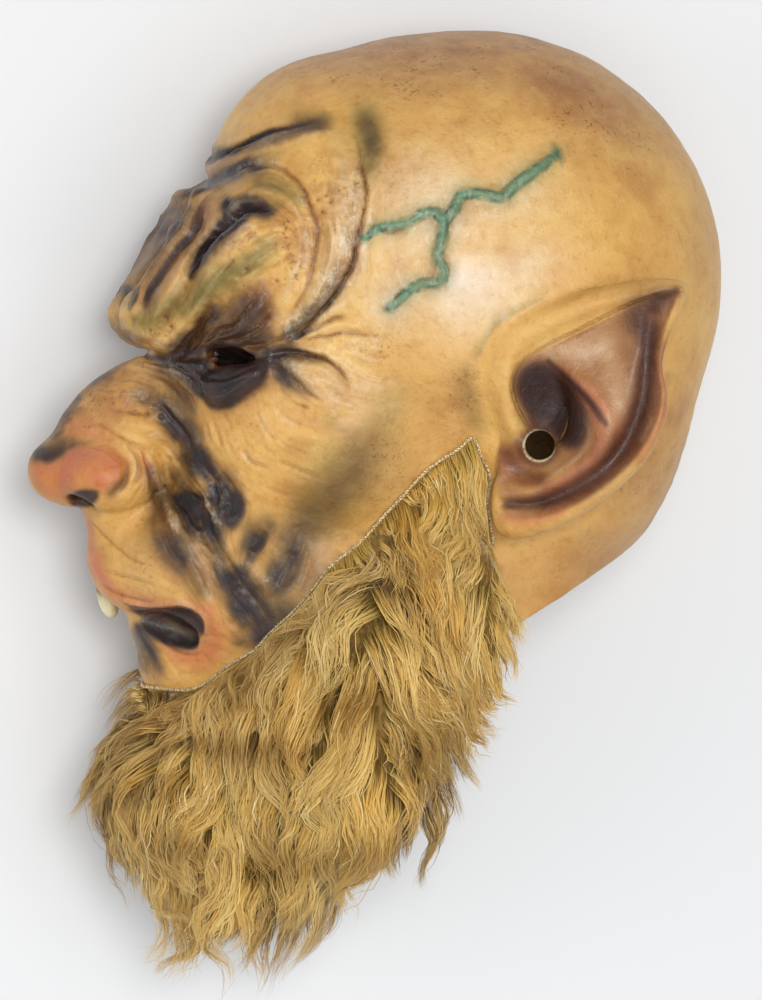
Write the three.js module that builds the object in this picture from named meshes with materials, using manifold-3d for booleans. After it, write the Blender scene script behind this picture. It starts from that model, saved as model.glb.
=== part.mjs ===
// A full-head monster mask of painted latex with a fur beard, lying on its right side.
//
// Everything is shaped in the head's own axes, in millimetres: X to the back of the head, Y to the
// crown, Z to the wearer's left, the mid-plane at Z = 0 and the floor at Z = -FLOOR. At the end both
// pieces are moved so that the origin is the middle of the underside of the whole, on the floor.
import * as THREE from 'three';
import { mergeVertices } from 'three/addons/utils/BufferGeometryUtils.js';
import Module from 'manifold-3d';

const WALL = 3.0;               // latex wall
const FLOOR = 88;               // the right side rests this far from the mid-plane
const EAR_HOLE = 12.6;          // hearing hole through each ear bowl
const EAR_THICK = 8;            // ear at its root, rim to back
const EAR_SPREAD = 0.45;        // how far the free left ear stands out, mm per mm towards its tip
const EAR_PRESSED = 0.106;      // the right ear, pressed against the head by the floor
const FUR_GAP = 0.45;           // the fur's backing stays this clear of the latex
const FUR_EDGE = 3.2;           // fur at its trimmed edge
const FUR_FULL = 17;            // fur over the jaw, away from the edge
const NECK_SLOPE = 0.489;       // neck opening: y = NECK_Y + NECK_SLOPE * (x - NECK_X)
const NECK_X = 120;
const NECK_Y = -12;
const SKULL_DETAIL = 8;         // subdivisions of each shape's starting sphere
const BROW_DETAIL = 4;
const NOSE_DETAIL = 4;
const HOLLOW_DETAIL = 7;
const BEARD_DETAIL = 8;
const FACE_BIAS = [-0.4, -0.1, 0]; // crowds the faces towards the nose, mouth and brow
const ORIGIN = [-2.48, -4.05, -FLOOR];   // middle of the underside, in the head axes

// ---- the head: groups of blended ellipsoids [centre, radii, turn about Z in degrees, blend]
const SKULL = [
  [[40, 92, 0], [104, 104, 93], 0, 0],          // cranium
  [[4, 106, 0], [78, 82, 82], 0, 16],           // forehead
  [[-29, 148, 0], [32, 33, 54], 0, 14],         // forehead corner
  [[-41, 137, 0], [27, 30, 44], -28, 14],       // slope down to the brow
  [[56, 32, 0], [72, 72, 74], 0, 16],           // nape
  [[22, -50, 0], [74, 60, 60], 0, 20],          // neck
  [[-34, 42, 0], [64, 78, 69], 0, 22],          // mid-face
  [[-34, -34, 0], [60, 62, 62], 0, 22],         // jaw
  [[-22, 30, 44], [38, 36, 31], 0, 12],         // cheekbone
  [[-92, -22, 0], [32, 27, 31], 0, 5],          // muzzle
  [[-106, -4, 0], [19, 16, 22], 0, 5],          // lip under the nose
  [[-80, -22, 22], [28, 25, 22], 0, 7],         // side of the muzzle
  [[-68, -63, 0], [35, 32, 33], 0, 8],          // chin
  [[-94, -50, 0], [12, 9, 24], 0, 6],           // front of the lips
];
const BROW = [
  [[-46, 102, 35], [36, 48, 39], -22, 0],       // heavy mass over the eye
  [[-77, 98, 25], [21, 38, 25], -29, 9],        // its front
  [[-94, 78, 23], [16, 15, 19], 20, 6],         // knob over the notch of the nose
];
const NOSE = [
  [[-110.5, 33.7, 0], [35, 19.6, 21], 43, 0],   // bridge
  [[-128, 14, 0], [20, 15.5, 19], 0, 8],        // tip
  [[-115, 11, 20], [18, 13, 13], 8, 4],         // wing
];
// hollows pressed into the face
const PITS = [
  [[-127, -1, 13], [10, 6, 6.5], 10, 2],        // nostril
  [[-66, 62, 46], [20, 7, 16], 0, 4],           // eye socket, under the brow
  [[-94, -51, 25], [15, 5.5, 15], -20, 3],      // parted lips, at each corner
];

function ellipsoid(p, c, r, turn) {
  let x = p[0] - c[0], y = p[1] - c[1];
  const z = p[2] - c[2];
  if (turn) {
    const a = THREE.MathUtils.degToRad(turn), ca = Math.cos(a), sa = Math.sin(a);
    [x, y] = [x * ca + y * sa, -x * sa + y * ca];
  }
  const k0 = Math.hypot(x / r[0], y / r[1], z / r[2]);
  const k1 = Math.hypot(x / r[0] ** 2, y / r[1] ** 2, z / r[2] ** 2) + 1e-9;
  return k0 * (k0 - 1) / k1;
}
function smin(a, b, k) {
  if (k <= 0) return Math.min(a, b);
  const h = Math.max(k - Math.abs(a - b), 0) / k;
  return Math.min(a, b) - h * h * k / 4;
}
const smax = (a, b, k) => -smin(-a, -b, k);
function blend(group, p) {
  let d = null;
  for (const [c, r, turn, k] of group) {
    const e = ellipsoid(p, c, r, turn);
    d = d === null ? e : smin(d, e, k);
  }
  return d;
}
const folded = (p) => [p[0], p[1], Math.sqrt(p[2] ** 2 + 0.5)];
const skull = (p) => blend(SKULL, folded(p));
const nose = (p) => blend(NOSE, folded(p));
const brow = (p) => blend(BROW, p);
function inside(p) {
  const q = folded(p);
  let d = Math.min(skull(p), nose(p), brow(q));
  for (const [c, r, turn, k] of PITS) d = smax(d, -ellipsoid(q, c, r, turn), k);
  return d;
}

// ---- fur thickness over the head, and the mass that hangs from the chin
const EDGE_TOP = [24, 31];                       // top of the fur in front of the ear
const EDGE_NORMAL = [0.66, -0.751];              // across the trimmed edge, into the fur
const BEARD = [
  [[-63, -110, 0], [63, 74, 68], 0, 0],         // the full front
  [[-60, -151, 0], [48, 53, 50], -8, 16],       // its point
  [[-22, -80, 52], [51, 74, 44], -12, 16],      // sides
  [[-24, -126, 44], [37, 34, 36], 0, 12],       // their lower locks
];
function beard(p) {
  const s = (p[0] - EDGE_TOP[0]) * EDGE_NORMAL[0] + (p[1] - EDGE_TOP[1]) * EDGE_NORMAL[1];
  const t = FUR_EDGE + (FUR_FULL - FUR_EDGE) * THREE.MathUtils.smoothstep(s, 2, 46);
  return smin(skull(p) - t, smax(blend(BEARD, folded(p)), 6 - s, 14), 10);
}

const TOOTH = [[-112, -43, -17], [4.5, 8.5, 4.5]];  // the one crooked tooth in the lower lip: centre, radii

// ---- solids
const wasm = await Module();
wasm.setup();

function solid(geometry) {
  geometry.deleteAttribute('normal');
  geometry.deleteAttribute('uv');
  const g = mergeVertices(geometry, 1e-4);
  return new wasm.Manifold(new wasm.Mesh({
    numProp: 3,
    vertProperties: new Float32Array(g.attributes.position.array),
    triVerts: new Uint32Array(g.index.array),
  }));
}
function geometryOf(body) {
  const m = body.getMesh();
  const g = new THREE.BufferGeometry();
  const v = new Float32Array(m.numVert * 3);
  for (let i = 0; i < m.numVert; i++) for (let k = 0; k < 3; k++) v[3 * i + k] = m.vertProperties[i * m.numProp + k] - ORIGIN[k];
  g.setAttribute('position', new THREE.BufferAttribute(v, 3));
  g.setIndex(new THREE.BufferAttribute(new Uint32Array(m.triVerts), 1));
  g.computeVertexNormals();
  return g;
}

// the surface where field = level, seen from a point inside it
function inflate(field, level, centre, detail, far, bias = [0, 0, 0]) {
  const g = new THREE.IcosahedronGeometry(1, detail);
  const a = g.attributes.position;
  for (let i = 0; i < a.count; i++) {
    const d = new THREE.Vector3().fromBufferAttribute(a, i).normalize().add(new THREE.Vector3(...bias)).normalize();
    const at = (r) => [centre[0] + d.x * r, centre[1] + d.y * r, centre[2] + d.z * r];
    let r = 4;
    for (let n = 0; n < 400 && r < far; n++) {
      const f = field(at(r)) - level;
      if (f > -0.02) break;
      r += Math.max(-f * 0.7, 0.05);
    }
    let lo = r - 1.5, hi = r + 0.5;
    for (let n = 0; n < 24; n++) {
      const m = (lo + hi) / 2;
      if (field(at(m)) - level < 0) lo = m; else hi = m;
    }
    const p = at((lo + hi) / 2);
    a.setXYZ(i, p[0], p[1], p[2]);
  }
  return solid(g);
}
function prism(points, z0, z1) {
  const s = new THREE.Shape(points.map((p) => new THREE.Vector2(p[0], p[1])));
  const g = new THREE.ExtrudeGeometry(s, { depth: z1 - z0, bevelEnabled: false, curveSegments: 1 });
  g.translate(0, 0, z0);
  return solid(g);
}
function slab(x0, x1, y0, y1, z0, z1) {
  const g = new THREE.BoxGeometry(x1 - x0, y1 - y0, z1 - z0);
  g.translate((x0 + x1) / 2, (y0 + y1) / 2, (z0 + z1) / 2);
  return solid(g);
}
const mirror = (body) => body.mirror([0, 0, 1]);

// ---- ears: a pointed leaf with a rolled rim, a fold and a bowl, in its own plane
// the leaf's outline as distances from its middle, one for each sixteenth of a turn from +X
const EAR_MID = [55, 42];
const EAR_REACH = [40.2, 38.3, 63.8, 41.1, 35.4, 35.4, 38.7, 41.6, 41.6, 38.7, 37.3, 42.1, 51, 49.6, 45.4, 41.1];
const EAR_RIM = new THREE.CatmullRomCurve3(EAR_REACH.map((r, i) => {
  const a = i * Math.PI / 8;
  return new THREE.Vector3(EAR_MID[0] + r * Math.cos(a), EAR_MID[1] + r * Math.sin(a), 0);
}), true, 'catmullrom', 0.5);
// raised folds and grooves: [start, bend, bend, end, half width, height]
const EAR_FOLDS = [
  [[34.2, 31.6], [26.7, 55.2], [43.7, 81.7], [100.4, 91.1], 6.0, 6.5],   // rolled front rim
  [[102.2, 85.5], [96.6, 43.9], [83.3, 15.5], [41.8, 0.4], 3.8, 4.0],   // rear rim and lobe
  [[56.9, 51.5], [81.5, 45.8], [72.0, 13.7], [36.1, 9.9], 4.9, 3.2],   // inner fold
  [[90.9, 77.9], [90.9, 40.1], [75.8, 9.9], [36.1, 6.1], 2.5, -4.0],   // groove inside the rim
  [[41.8, 53.3], [45.5, 45.8], [47.4, 38.2], [47.4, 30.7], 9.0, -9.0],   // bowl
].map(([a, b, c, d, w, h]) => ({
  curve: new THREE.CubicBezierCurve3(...[a, b, c, d].map((q) => new THREE.Vector3(q[0], q[1], 0))).getPoints(24),
  w, h,
}));
function earRelief(x, y) {
  let z = 0;
  for (const { curve, w, h } of EAR_FOLDS) {
    let best = 1e9;
    for (const q of curve) best = Math.min(best, (q.x - x) ** 2 + (q.y - y) ** 2);
    z += h * Math.exp(-((Math.sqrt(best) / w) ** 2.5));
  }
  return z;
}
function ear(spread, root) {
  const N = 36;
  const rings = [0.25, 0.48, 0.68, 0.85, 0.97];
  const rim = EAR_RIM.getSpacedPoints(N).slice(0, N);
  const base = (x) => root + spread * (x - 30);
  const v = [], f = [];
  const add = (x, y, z) => { v.push(x, y, z); return v.length / 3 - 1; };
  const ring = (k, zf) => rim.map((q) => {
    const x = EAR_MID[0] + (q.x - EAR_MID[0]) * k, y = EAR_MID[1] + (q.y - EAR_MID[1]) * k;
    return add(x, y, zf(x, y));
  });
  const front = (x, y) => base(x) + earRelief(x, y);
  const back = (x) => base(x) - EAR_THICK;
  const loops = rings.map((k) => ring(k, front));
  loops.push(ring(1, (x, y) => base(x) + 0.25 * earRelief(x, y) - EAR_THICK * 0.35));
  loops.push(ring(0.96, (x) => base(x) - EAR_THICK * 0.75));
  loops.push(ring(0.7, back));
  const top = add(EAR_MID[0], EAR_MID[1], front(...EAR_MID));
  const end = add(EAR_MID[0], EAR_MID[1], back(EAR_MID[0]));
  for (let i = 0; i < N; i++) {
    const j = (i + 1) % N;
    f.push(top, loops[0][i], loops[0][j]);
    for (let k = 0; k + 1 < loops.length; k++) {
      f.push(loops[k][i], loops[k + 1][i], loops[k + 1][j], loops[k][i], loops[k + 1][j], loops[k][j]);
    }
    f.push(end, loops[loops.length - 1][j], loops[loops.length - 1][i]);
  }
  const g = new THREE.BufferGeometry();
  g.setAttribute('position', new THREE.BufferAttribute(new Float32Array(v), 3));
  g.setIndex(f);
  return solid(g);
}

// ---- openings
function hole(x, y, d, z0, z1) {
  const g = new THREE.CylinderGeometry(d / 2, d / 2, z1 - z0, 20);
  g.rotateX(Math.PI / 2);
  g.translate(x, y, (z0 + z1) / 2);
  return solid(g);
}
const EYE = { x: -63.5, y: 59.5, length: 15, height: 6.5, turn: -18 };
function eyeHole() {
  const s = new THREE.Shape();
  const a = EYE.length / 2, b = EYE.height / 2;
  s.absellipse(0, 0, a, b, 0, Math.PI * 2);
  const g = new THREE.ExtrudeGeometry(s, { depth: 70, bevelEnabled: false, curveSegments: 8 });
  g.rotateZ(THREE.MathUtils.degToRad(EYE.turn));
  g.rotateY(THREE.MathUtils.degToRad(-34));
  g.translate(EYE.x + 17, EYE.y, 18);
  return solid(g);
}
const neckY = (x, drop = 0) => NECK_Y + NECK_SLOPE * (x - NECK_X) - drop;
const belowNeck = (drop) => prism([[-220, -330], [220, -330], [220, neckY(220, drop)], [-220, neckY(-220, drop)]], -150, 150);

// ---- the latex: skin and ears, less the hollow and its openings
const MID = [-22, 27, 0];
const leftBrow = inflate(brow, 0, [-66, 98, 32], BROW_DETAIL, 90);
let skin = inflate(skull, 0, MID, SKULL_DETAIL, 230, FACE_BIAS).add(inflate(nose, 0, [-112, 20, 0], NOSE_DETAIL, 90)).add(leftBrow).add(mirror(leftBrow));
for (const [c, r, turn] of PITS) {
  const g = new THREE.SphereGeometry(1, 14, 9);
  g.scale(...r);
  g.rotateZ(THREE.MathUtils.degToRad(turn));
  g.translate(...c);
  const pit = solid(g);
  skin = skin.subtract(pit);
  if (c[2] > 0) skin = skin.subtract(mirror(pit));
}
const hollow = inflate(inside, -WALL, MID, HOLLOW_DETAIL, 230, FACE_BIAS).subtract(slab(-300, 300, -300, 300, -FLOOR - 80, -FLOOR + WALL));
const floor = slab(-300, 300, -300, 300, -FLOOR - 80, -FLOOR);
let latex = skin.add(ear(EAR_SPREAD, 80)).add(mirror(ear(EAR_PRESSED, 80)));
latex = latex.subtract(hollow).subtract(belowNeck(0));
for (const side of [eyeHole(), hole(51.5, 27, EAR_HOLE, 40, 120)]) latex = latex.subtract(side).subtract(mirror(side));
latex = latex.subtract(floor);
{
  const g = new THREE.SphereGeometry(1, 10, 8);
  g.scale(...TOOTH[1]);
  g.translate(...TOOTH[0]);
  latex = latex.add(solid(g));
}

// ---- the fur: a layer over the jaw that hangs on below it, open at the back for the neck
const edge = new THREE.CatmullRomCurve3([
  [24, 31], [11, 21], [-5, 5], [-18, -9], [-30, -20], [-47, -41], [-60, -56], [-79, -71], [-96, -75], [-125, -70],
].map((q) => new THREE.Vector3(q[0], q[1], 0))).getPoints(24);
const aboveEdge = prism([[-230, -70], [-230, 230], [160, 230], [160, -8], [31, -8], [30, 8], [27, 24], ...edge.map((q) => [q.x, q.y])].reverse(), -150, 150);
const neckRoom = (() => {
  const g = new THREE.SphereGeometry(1, 28, 16);
  g.scale(62, 150, 50);
  g.rotateZ(THREE.MathUtils.degToRad(-6));
  g.translate(34, -110, 0);
  return solid(g).add(slab(34, 160, -330, -20, -49, 49));
})();
const behind = prism([[30, -6], [230, -6], [230, -330], [-12, -330], [2, -190], [10, -150], [20, -118], [32, -84], [42, -56], [44, -36], [38, -16]].reverse(), -150, 150);
let fur = inflate(beard, 0, [-30, -72, 0], BEARD_DETAIL, 230);
fur = fur.subtract(inflate(skull, FUR_GAP, MID, SKULL_DETAIL, 230, FACE_BIAS)).subtract(aboveEdge).subtract(behind).subtract(neckRoom);
fur = fur.subtract(slab(-300, 300, -300, 300, -FLOOR - 80, -FLOOR));
fur = fur.subtract(ear(EAR_SPREAD, 80)).subtract(mirror(ear(EAR_PRESSED, 80)));
fur = fur.decompose().sort((a, b) => b.volume() - a.volume())[0];   // without the slivers left beside the ears

const finish = (color, roughness) => new THREE.MeshStandardMaterial({ color, roughness, metalness: 0 });
function piece(name, body, material) {
  const mesh = new THREE.Mesh(geometryOf(body), material);
  mesh.name = name;
  return mesh;
}
const mask = new THREE.Group();
mask.add(piece('latex_mask', latex, finish(0xd6aa66, 0.5)));
mask.add(piece('fur_beard', fur, finish(0xb98f4c, 0.95)));

export default mask;
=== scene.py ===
# A painted latex monster mask with a fur beard, lying on its right side.
import math
import time

import bpy
import numpy as np
from mathutils import Matrix, Vector


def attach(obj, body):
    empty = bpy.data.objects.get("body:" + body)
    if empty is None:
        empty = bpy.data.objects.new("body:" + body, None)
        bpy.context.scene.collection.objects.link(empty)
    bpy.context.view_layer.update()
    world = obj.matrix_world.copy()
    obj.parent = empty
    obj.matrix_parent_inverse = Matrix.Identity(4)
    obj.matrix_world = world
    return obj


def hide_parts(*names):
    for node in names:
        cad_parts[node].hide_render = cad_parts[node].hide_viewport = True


T0 = time.time()
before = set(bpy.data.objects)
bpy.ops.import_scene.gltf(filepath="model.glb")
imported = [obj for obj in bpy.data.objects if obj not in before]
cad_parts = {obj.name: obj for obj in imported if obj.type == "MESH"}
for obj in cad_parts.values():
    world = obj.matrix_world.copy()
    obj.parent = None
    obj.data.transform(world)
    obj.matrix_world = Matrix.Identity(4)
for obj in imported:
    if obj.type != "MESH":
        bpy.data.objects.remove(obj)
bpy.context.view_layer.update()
F = np.float32

# ------------------------------------------------------------------ sizes (mm, in the head's own axes:
# X to the back of the head, Y to the crown, Z to the wearer's left, mid-plane Z = 0)
SHIFT = np.array([2.48, 4.05, 88.0])     # head axes to the row's frame
FLOOR = -88.0                            # the surface it lies on
WALL = 3.0
CELL = 1.40            # mesh fineness of the skin
NECK_SLOPE, NECK_X, NECK_Y = 0.489, 120.0, -12.0

# ------------------------------------------------------------------ the camera, which also lays out the brushwork
MM_PX, DIST, YAW, TILT = 0.42, 1500.0, math.radians(10), math.radians(4)
CX, CY, W2, H2 = 381.0, 500.0, 762, 1000
CAM = np.array([-math.sin(YAW) * math.cos(TILT), math.sin(TILT), math.cos(YAW) * math.cos(TILT)])
RIGHT = np.array([math.cos(YAW), 0, math.sin(YAW)])
UP = np.cross(CAM, RIGHT)


def project(p):
    w = DIST / (DIST - p @ CAM)
    return CX + (p @ RIGHT) * w / MM_PX, CY - (p @ UP) * w / MM_PX


def lift(u, v, z):
    """the points at height z seen at u, v"""
    u, v, z = np.broadcast_arrays(np.asarray(u, float), np.asarray(v, float), np.asarray(z, float))
    o = CAM * DIST
    d = RIGHT * ((u - CX) * MM_PX)[..., None] + UP * ((CY - v) * MM_PX)[..., None] - o
    t = (z - o[2]) / d[..., 2]
    return o + d * t[..., None]


# ------------------------------------------------------------------ shape fields
BLOBS = [
    (40, 92, 0, 104, 104, 93, 0, 0),        # cranium
    (4, 106, 0, 78, 82, 82, 0, 16),         # forehead
    (-29, 148, 0, 32, 33, 54, 0, 14),       # forehead corner
    (-41, 137, 0, 27, 30, 44, -28, 14),     # slope down to the brow
    (56, 32, 0, 72, 72, 74, 0, 16),         # nape
    (22, -50, 0, 74, 60, 60, 0, 20),        # neck
    (-34, 42, 0, 64, 78, 69, 0, 22),        # mid-face
    (-34, -34, 0, 60, 62, 62, 0, 22),       # jaw
    (-22, 30, 44, 38, 36, 31, 0, 12),       # cheekbone
    (-46, 102, 35, 36, 48, 39, -22, 8),     # brow mass
    (-77, 98, 25, 21, 38, 25, -29, 8),      # front of the brow
    (-94, 78, 23, 16, 15, 19, 20, 5),       # brow knob
    (-110.5, 33.7, 0, 35, 19.6, 21, 43, 9),  # nose bridge
    (-93, 41, 18, 27, 12.5, 14.5, 38, 10),  # side of the bridge
    (-128, 14, 0, 20, 15.5, 19, 0, 5),      # nose tip
    (-114, 11, 21, 19, 13, 13, 6, 9),       # nostril wing
    (-92, -22, 0, 32, 27, 31, 0, 5),        # muzzle
    (-106, -4, 0, 19, 16, 22, 0, 5),        # lip under the nose
    (-80, -22, 22, 28, 25, 22, 0, 7),       # side of the muzzle
    (-68, -63, 0, 35, 32, 33, 0, 8),        # chin
    (-94, -50, 0, 12, 9, 24, 0, 6),         # front of the lips
]
PITS = [
    (-125.5, 3.2, 17, 7.5, 4.2, 9, 14, 2),  # nostril
    (-67, 61.5, 47, 12, 3.6, 13, -10, 2),   # eye socket
    (-94, -50.6, 25, 15, 4.7, 12.5, -20, 4.5),   # parted lips, at each corner
]


def ell(x, y, z, b):
    cx, cy, cz, rx, ry, rz, rot = b[:7]
    x = x - F(cx); y = y - F(cy); z = z - F(cz)
    if rot:
        a = math.radians(rot); ca, sa = F(math.cos(a)), F(math.sin(a))
        x, y = x * ca + y * sa, y * ca - x * sa
    x = x * F(1 / rx); y = y * F(1 / ry); z = z * F(1 / rz)
    k0 = np.sqrt(x * x + y * y + z * z)
    x *= F(1 / rx); y *= F(1 / ry); z *= F(1 / rz)
    k1 = np.sqrt(x * x + y * y + z * z) + F(1e-9)
    return k0 * (k0 - 1) / k1


def smin(a, b, k):
    if k <= 0:
        return np.minimum(a, b)
    h = np.maximum(F(k) - np.abs(a - b), 0) * F(1 / k)
    return np.minimum(a, b) - h * h * F(k * 0.25)


def smax(a, b, k):
    return -smin(-a, -b, k)


def split(p):
    p = np.asarray(p)
    return p[:, 0].astype(F), p[:, 1].astype(F), p[:, 2].astype(F)


def blend(blobs, x, y, z):
    d = None
    for b in blobs:
        e = ell(x, y, z, b)
        d = e if d is None else smin(d, e, b[7])
    return d


def skull(p):
    x, y, z = split(p)
    return blend(BLOBS, x, y, np.sqrt(z * z + F(0.5)))


def pits(p):
    x, y, z = split(p)
    z = np.sqrt(z * z + F(0.5))
    d = None
    for b in PITS:
        e = ell(x, y, z, b)
        d = e if d is None else np.minimum(d, e)
    return d


# ------------------------------------------------------------------ drawn maps: smooth curves laid over the side view
def curve(pts, step=1.5, closed=False):
    P = np.array(pts, float)
    if closed:
        Q = np.vstack([P[-1:], P, P[:2]])
    elif len(P) == 2:
        m = max(2, int(np.hypot(*(P[1] - P[0])) / step))
        t = np.linspace(0, 1, m)[:, None]
        return P[0] * (1 - t) + P[1] * t
    else:
        Q = np.vstack([2 * P[0] - P[1], P, 2 * P[-1] - P[-2]])
    out = []
    for i in range(1, len(Q) - 2):
        a, b, c, d = Q[i - 1], Q[i], Q[i + 1], Q[i + 2]
        m = max(2, int(np.linalg.norm(c - b) / step))
        t = np.linspace(0, 1, m, endpoint=False)[:, None]
        out.append(0.5 * ((2 * b) + (-a + c) * t + (2 * a - 5 * b + 4 * c - d) * t * t + (-a + 3 * b - 3 * c + d) * t ** 3))
    return np.vstack(out + [Q[-2:-1]])


def near(c, win):
    """for each pixel of the window: distance to the curve, side of it, and how far along"""
    x0, y0, x1, y1 = win
    gx, gy = np.meshgrid(np.arange(x0, x1, dtype=F), np.arange(y0, y1, dtype=F))
    best = np.full(gx.shape, 1e9, F); bi = np.zeros(gx.shape, np.int32)
    for i, (px, py) in enumerate(c.astype(F)):
        d = (gx - px) ** 2 + (gy - py) ** 2
        m = d < best
        best[m] = d[m]; bi[m] = i
    tang = np.gradient(c, axis=0)
    cr = tang[bi, 0] * (gy - c[bi, 1]) - tang[bi, 1] * (gx - c[bi, 0])
    return np.sqrt(best), np.where(cr >= 0, 1.0, -1.0), bi / (len(c) - 1)


def window(c, pad):
    x0, y0 = np.floor(c.min(0) - pad).astype(int); x1, y1 = np.ceil(c.max(0) + pad).astype(int) + 1
    return max(x0, 0), max(y0, 0), min(x1, W2), min(y1, H2)


def taper(t, a=0.15):
    return np.clip(t / a, 0, 1) ** 0.6 * np.clip((1 - t) / a, 0, 1) ** 0.6 if a else 1.0


def along(t, v):
    return np.interp(t, np.linspace(0, 1, len(v)), v) if isinstance(v, (list, tuple)) else v


def stroke(m, pts, w, h, pw=2.0, ends=0.15, mode="add"):
    """a soft line: h at its middle, falling off over w"""
    c = curve(pts); wm = max(w) if isinstance(w, (list, tuple)) else w
    win = window(c, wm * 2.6 + 1); d, _, t = near(c, win)
    ends = ends if mode == "add" else 0          # paint ends round
    v = along(t, h) * np.exp(-(d / along(t, w)) ** pw) * taper(t, ends)
    x0, y0, x1, y1 = win; s = m[y0:y1, x0:x1]
    if mode == "add":
        s += v
    else:
        np.maximum(s, v, out=s)


def fold(m, pts, w, h, side=1, cut=0.5, ends=0.18, sharp=2.2):
    """one lip lying over the other: a step along the line that fades away over w on its high side"""
    c = curve(pts); wm = max(w) if isinstance(w, (list, tuple)) else w
    win = window(c, wm * 3.2 + 2); d, s, t = near(c, win)
    s = s * side * d
    W = along(t, w); H = along(t, h) * taper(t, ends)
    up = np.clip(s / sharp, 0, 1); up = up * up * (3 - 2 * up)
    v = H * up * np.exp(-np.maximum(s - sharp, 0) / W) - H * cut * np.exp(-((s + sharp * 0.2) / (sharp * 1.1)) ** 2)
    x0, y0, x1, y1 = win
    m[y0:y1, x0:x1] += v


def spot(m, cx, cy, rx, ry, rot, h, pw=2.0, mode="add"):
    c = np.array([[cx, cy]], float); win = window(c, max(rx, ry) * 2.4)
    x0, y0, x1, y1 = win
    gx, gy = np.meshgrid(np.arange(x0, x1), np.arange(y0, y1)); a = math.radians(rot)
    x = (gx - cx) * math.cos(a) + (gy - cy) * math.sin(a); y = (gy - cy) * math.cos(a) - (gx - cx) * math.sin(a)
    v = h * np.exp(-np.hypot(x / rx, y / ry) ** pw)
    s = m[y0:y1, x0:x1]
    if mode == "add":
        s += v
    else:
        np.maximum(s, v, out=s)


def polyin(poly, gx, gy):
    inside = np.zeros(gx.shape, bool)
    for (ax, ay), (bx, by) in zip(poly, np.roll(poly, -1, 0)):
        if ay == by:
            continue
        c = (ay > gy) != (by > gy)
        inside ^= c & (gx < (bx - ax) * (gy - ay) / (by - ay) + ax)
    return inside


def sdist(pts, pad, step=2.0):
    """signed distance in px to a closed outline"""
    c = curve(pts, step, closed=True)
    m = np.full((H2, W2), float(pad)); win = window(c, pad)
    d, _, _ = near(c, win); x0, y0, x1, y1 = win
    gx, gy = np.meshgrid(np.arange(x0, x1), np.arange(y0, y1))
    m[y0:y1, x0:x1] = np.minimum(np.where(polyin(c, gx, gy), -d, d), pad)
    return m


def area(m, pts, soft, h=1.0, pad=None, mode="max"):
    """a filled soft-edged patch"""
    s = sdist(pts, pad or soft * 2.5 + 2)
    v = h / (1 + np.exp(np.clip(s / (soft * 0.35), -30, 30)))
    v[s >= (pad or soft * 2.5 + 2)] = 0
    if mode == "max":
        np.maximum(m, v, out=m)
    else:
        m += v


def dome(m, pts, h, reach, soft=1.0):
    """a pillow that rises steeply from its outline and flattens over reach"""
    s = sdist(pts, 6)
    t = np.clip(-s / reach, 0, 1)
    m += blur(h * (1 - (1 - t) ** 2), soft)


def blur(m, r):
    k = np.exp(-(np.arange(-int(3 * r), int(3 * r) + 1) / r) ** 2 / 2); k /= k.sum()
    n = len(k) // 2
    a = np.pad(m, n, mode="edge").astype(F)
    a = sum(k[i] * a[:, i:i + m.shape[1]] for i in range(len(k)))
    return sum(k[i] * a[i:i + m.shape[0], :] for i in range(len(k)))


def sample(m, u, v):
    u = np.clip(u, 0, W2 - 1.01); v = np.clip(v, 0, H2 - 1.01)
    i = u.astype(np.int32); j = v.astype(np.int32); a = (u - i).astype(F); b = (v - j).astype(F)
    return m[j, i] * (1 - a) * (1 - b) + m[j, i + 1] * a * (1 - b) + m[j + 1, i] * (1 - a) * b + m[j + 1, i + 1] * a * b


def hash3(i, j, k, seed):
    n = (i * 73856093) ^ (j * 19349663) ^ (k * 83492791) ^ (seed * 2654435761 & 0x7fffffff)
    n = (n ^ (n >> 13)) * 1274126177 & 0x7fffffff
    n = (n ^ (n >> 16)) & 0xffffff
    return n.astype(F) / F(0xffffff)


def noise(p, size, seed=0):
    """smooth value noise in -1..1"""
    q = np.asarray(p, float) / size
    i = np.floor(q).astype(np.int64); f = (q - i).astype(F); f = f * f * (3 - 2 * f)
    out = 0
    for a in (0, 1):
        for b in (0, 1):
            for c in (0, 1):
                w = (f[:, 0] if a else 1 - f[:, 0]) * (f[:, 1] if b else 1 - f[:, 1]) * (f[:, 2] if c else 1 - f[:, 2])
                out = out + w * hash3(i[:, 0] + a, i[:, 1] + b, i[:, 2] + c, seed)
    return out * 2 - 1


def zeros():
    return np.zeros((H2, W2))


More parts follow.
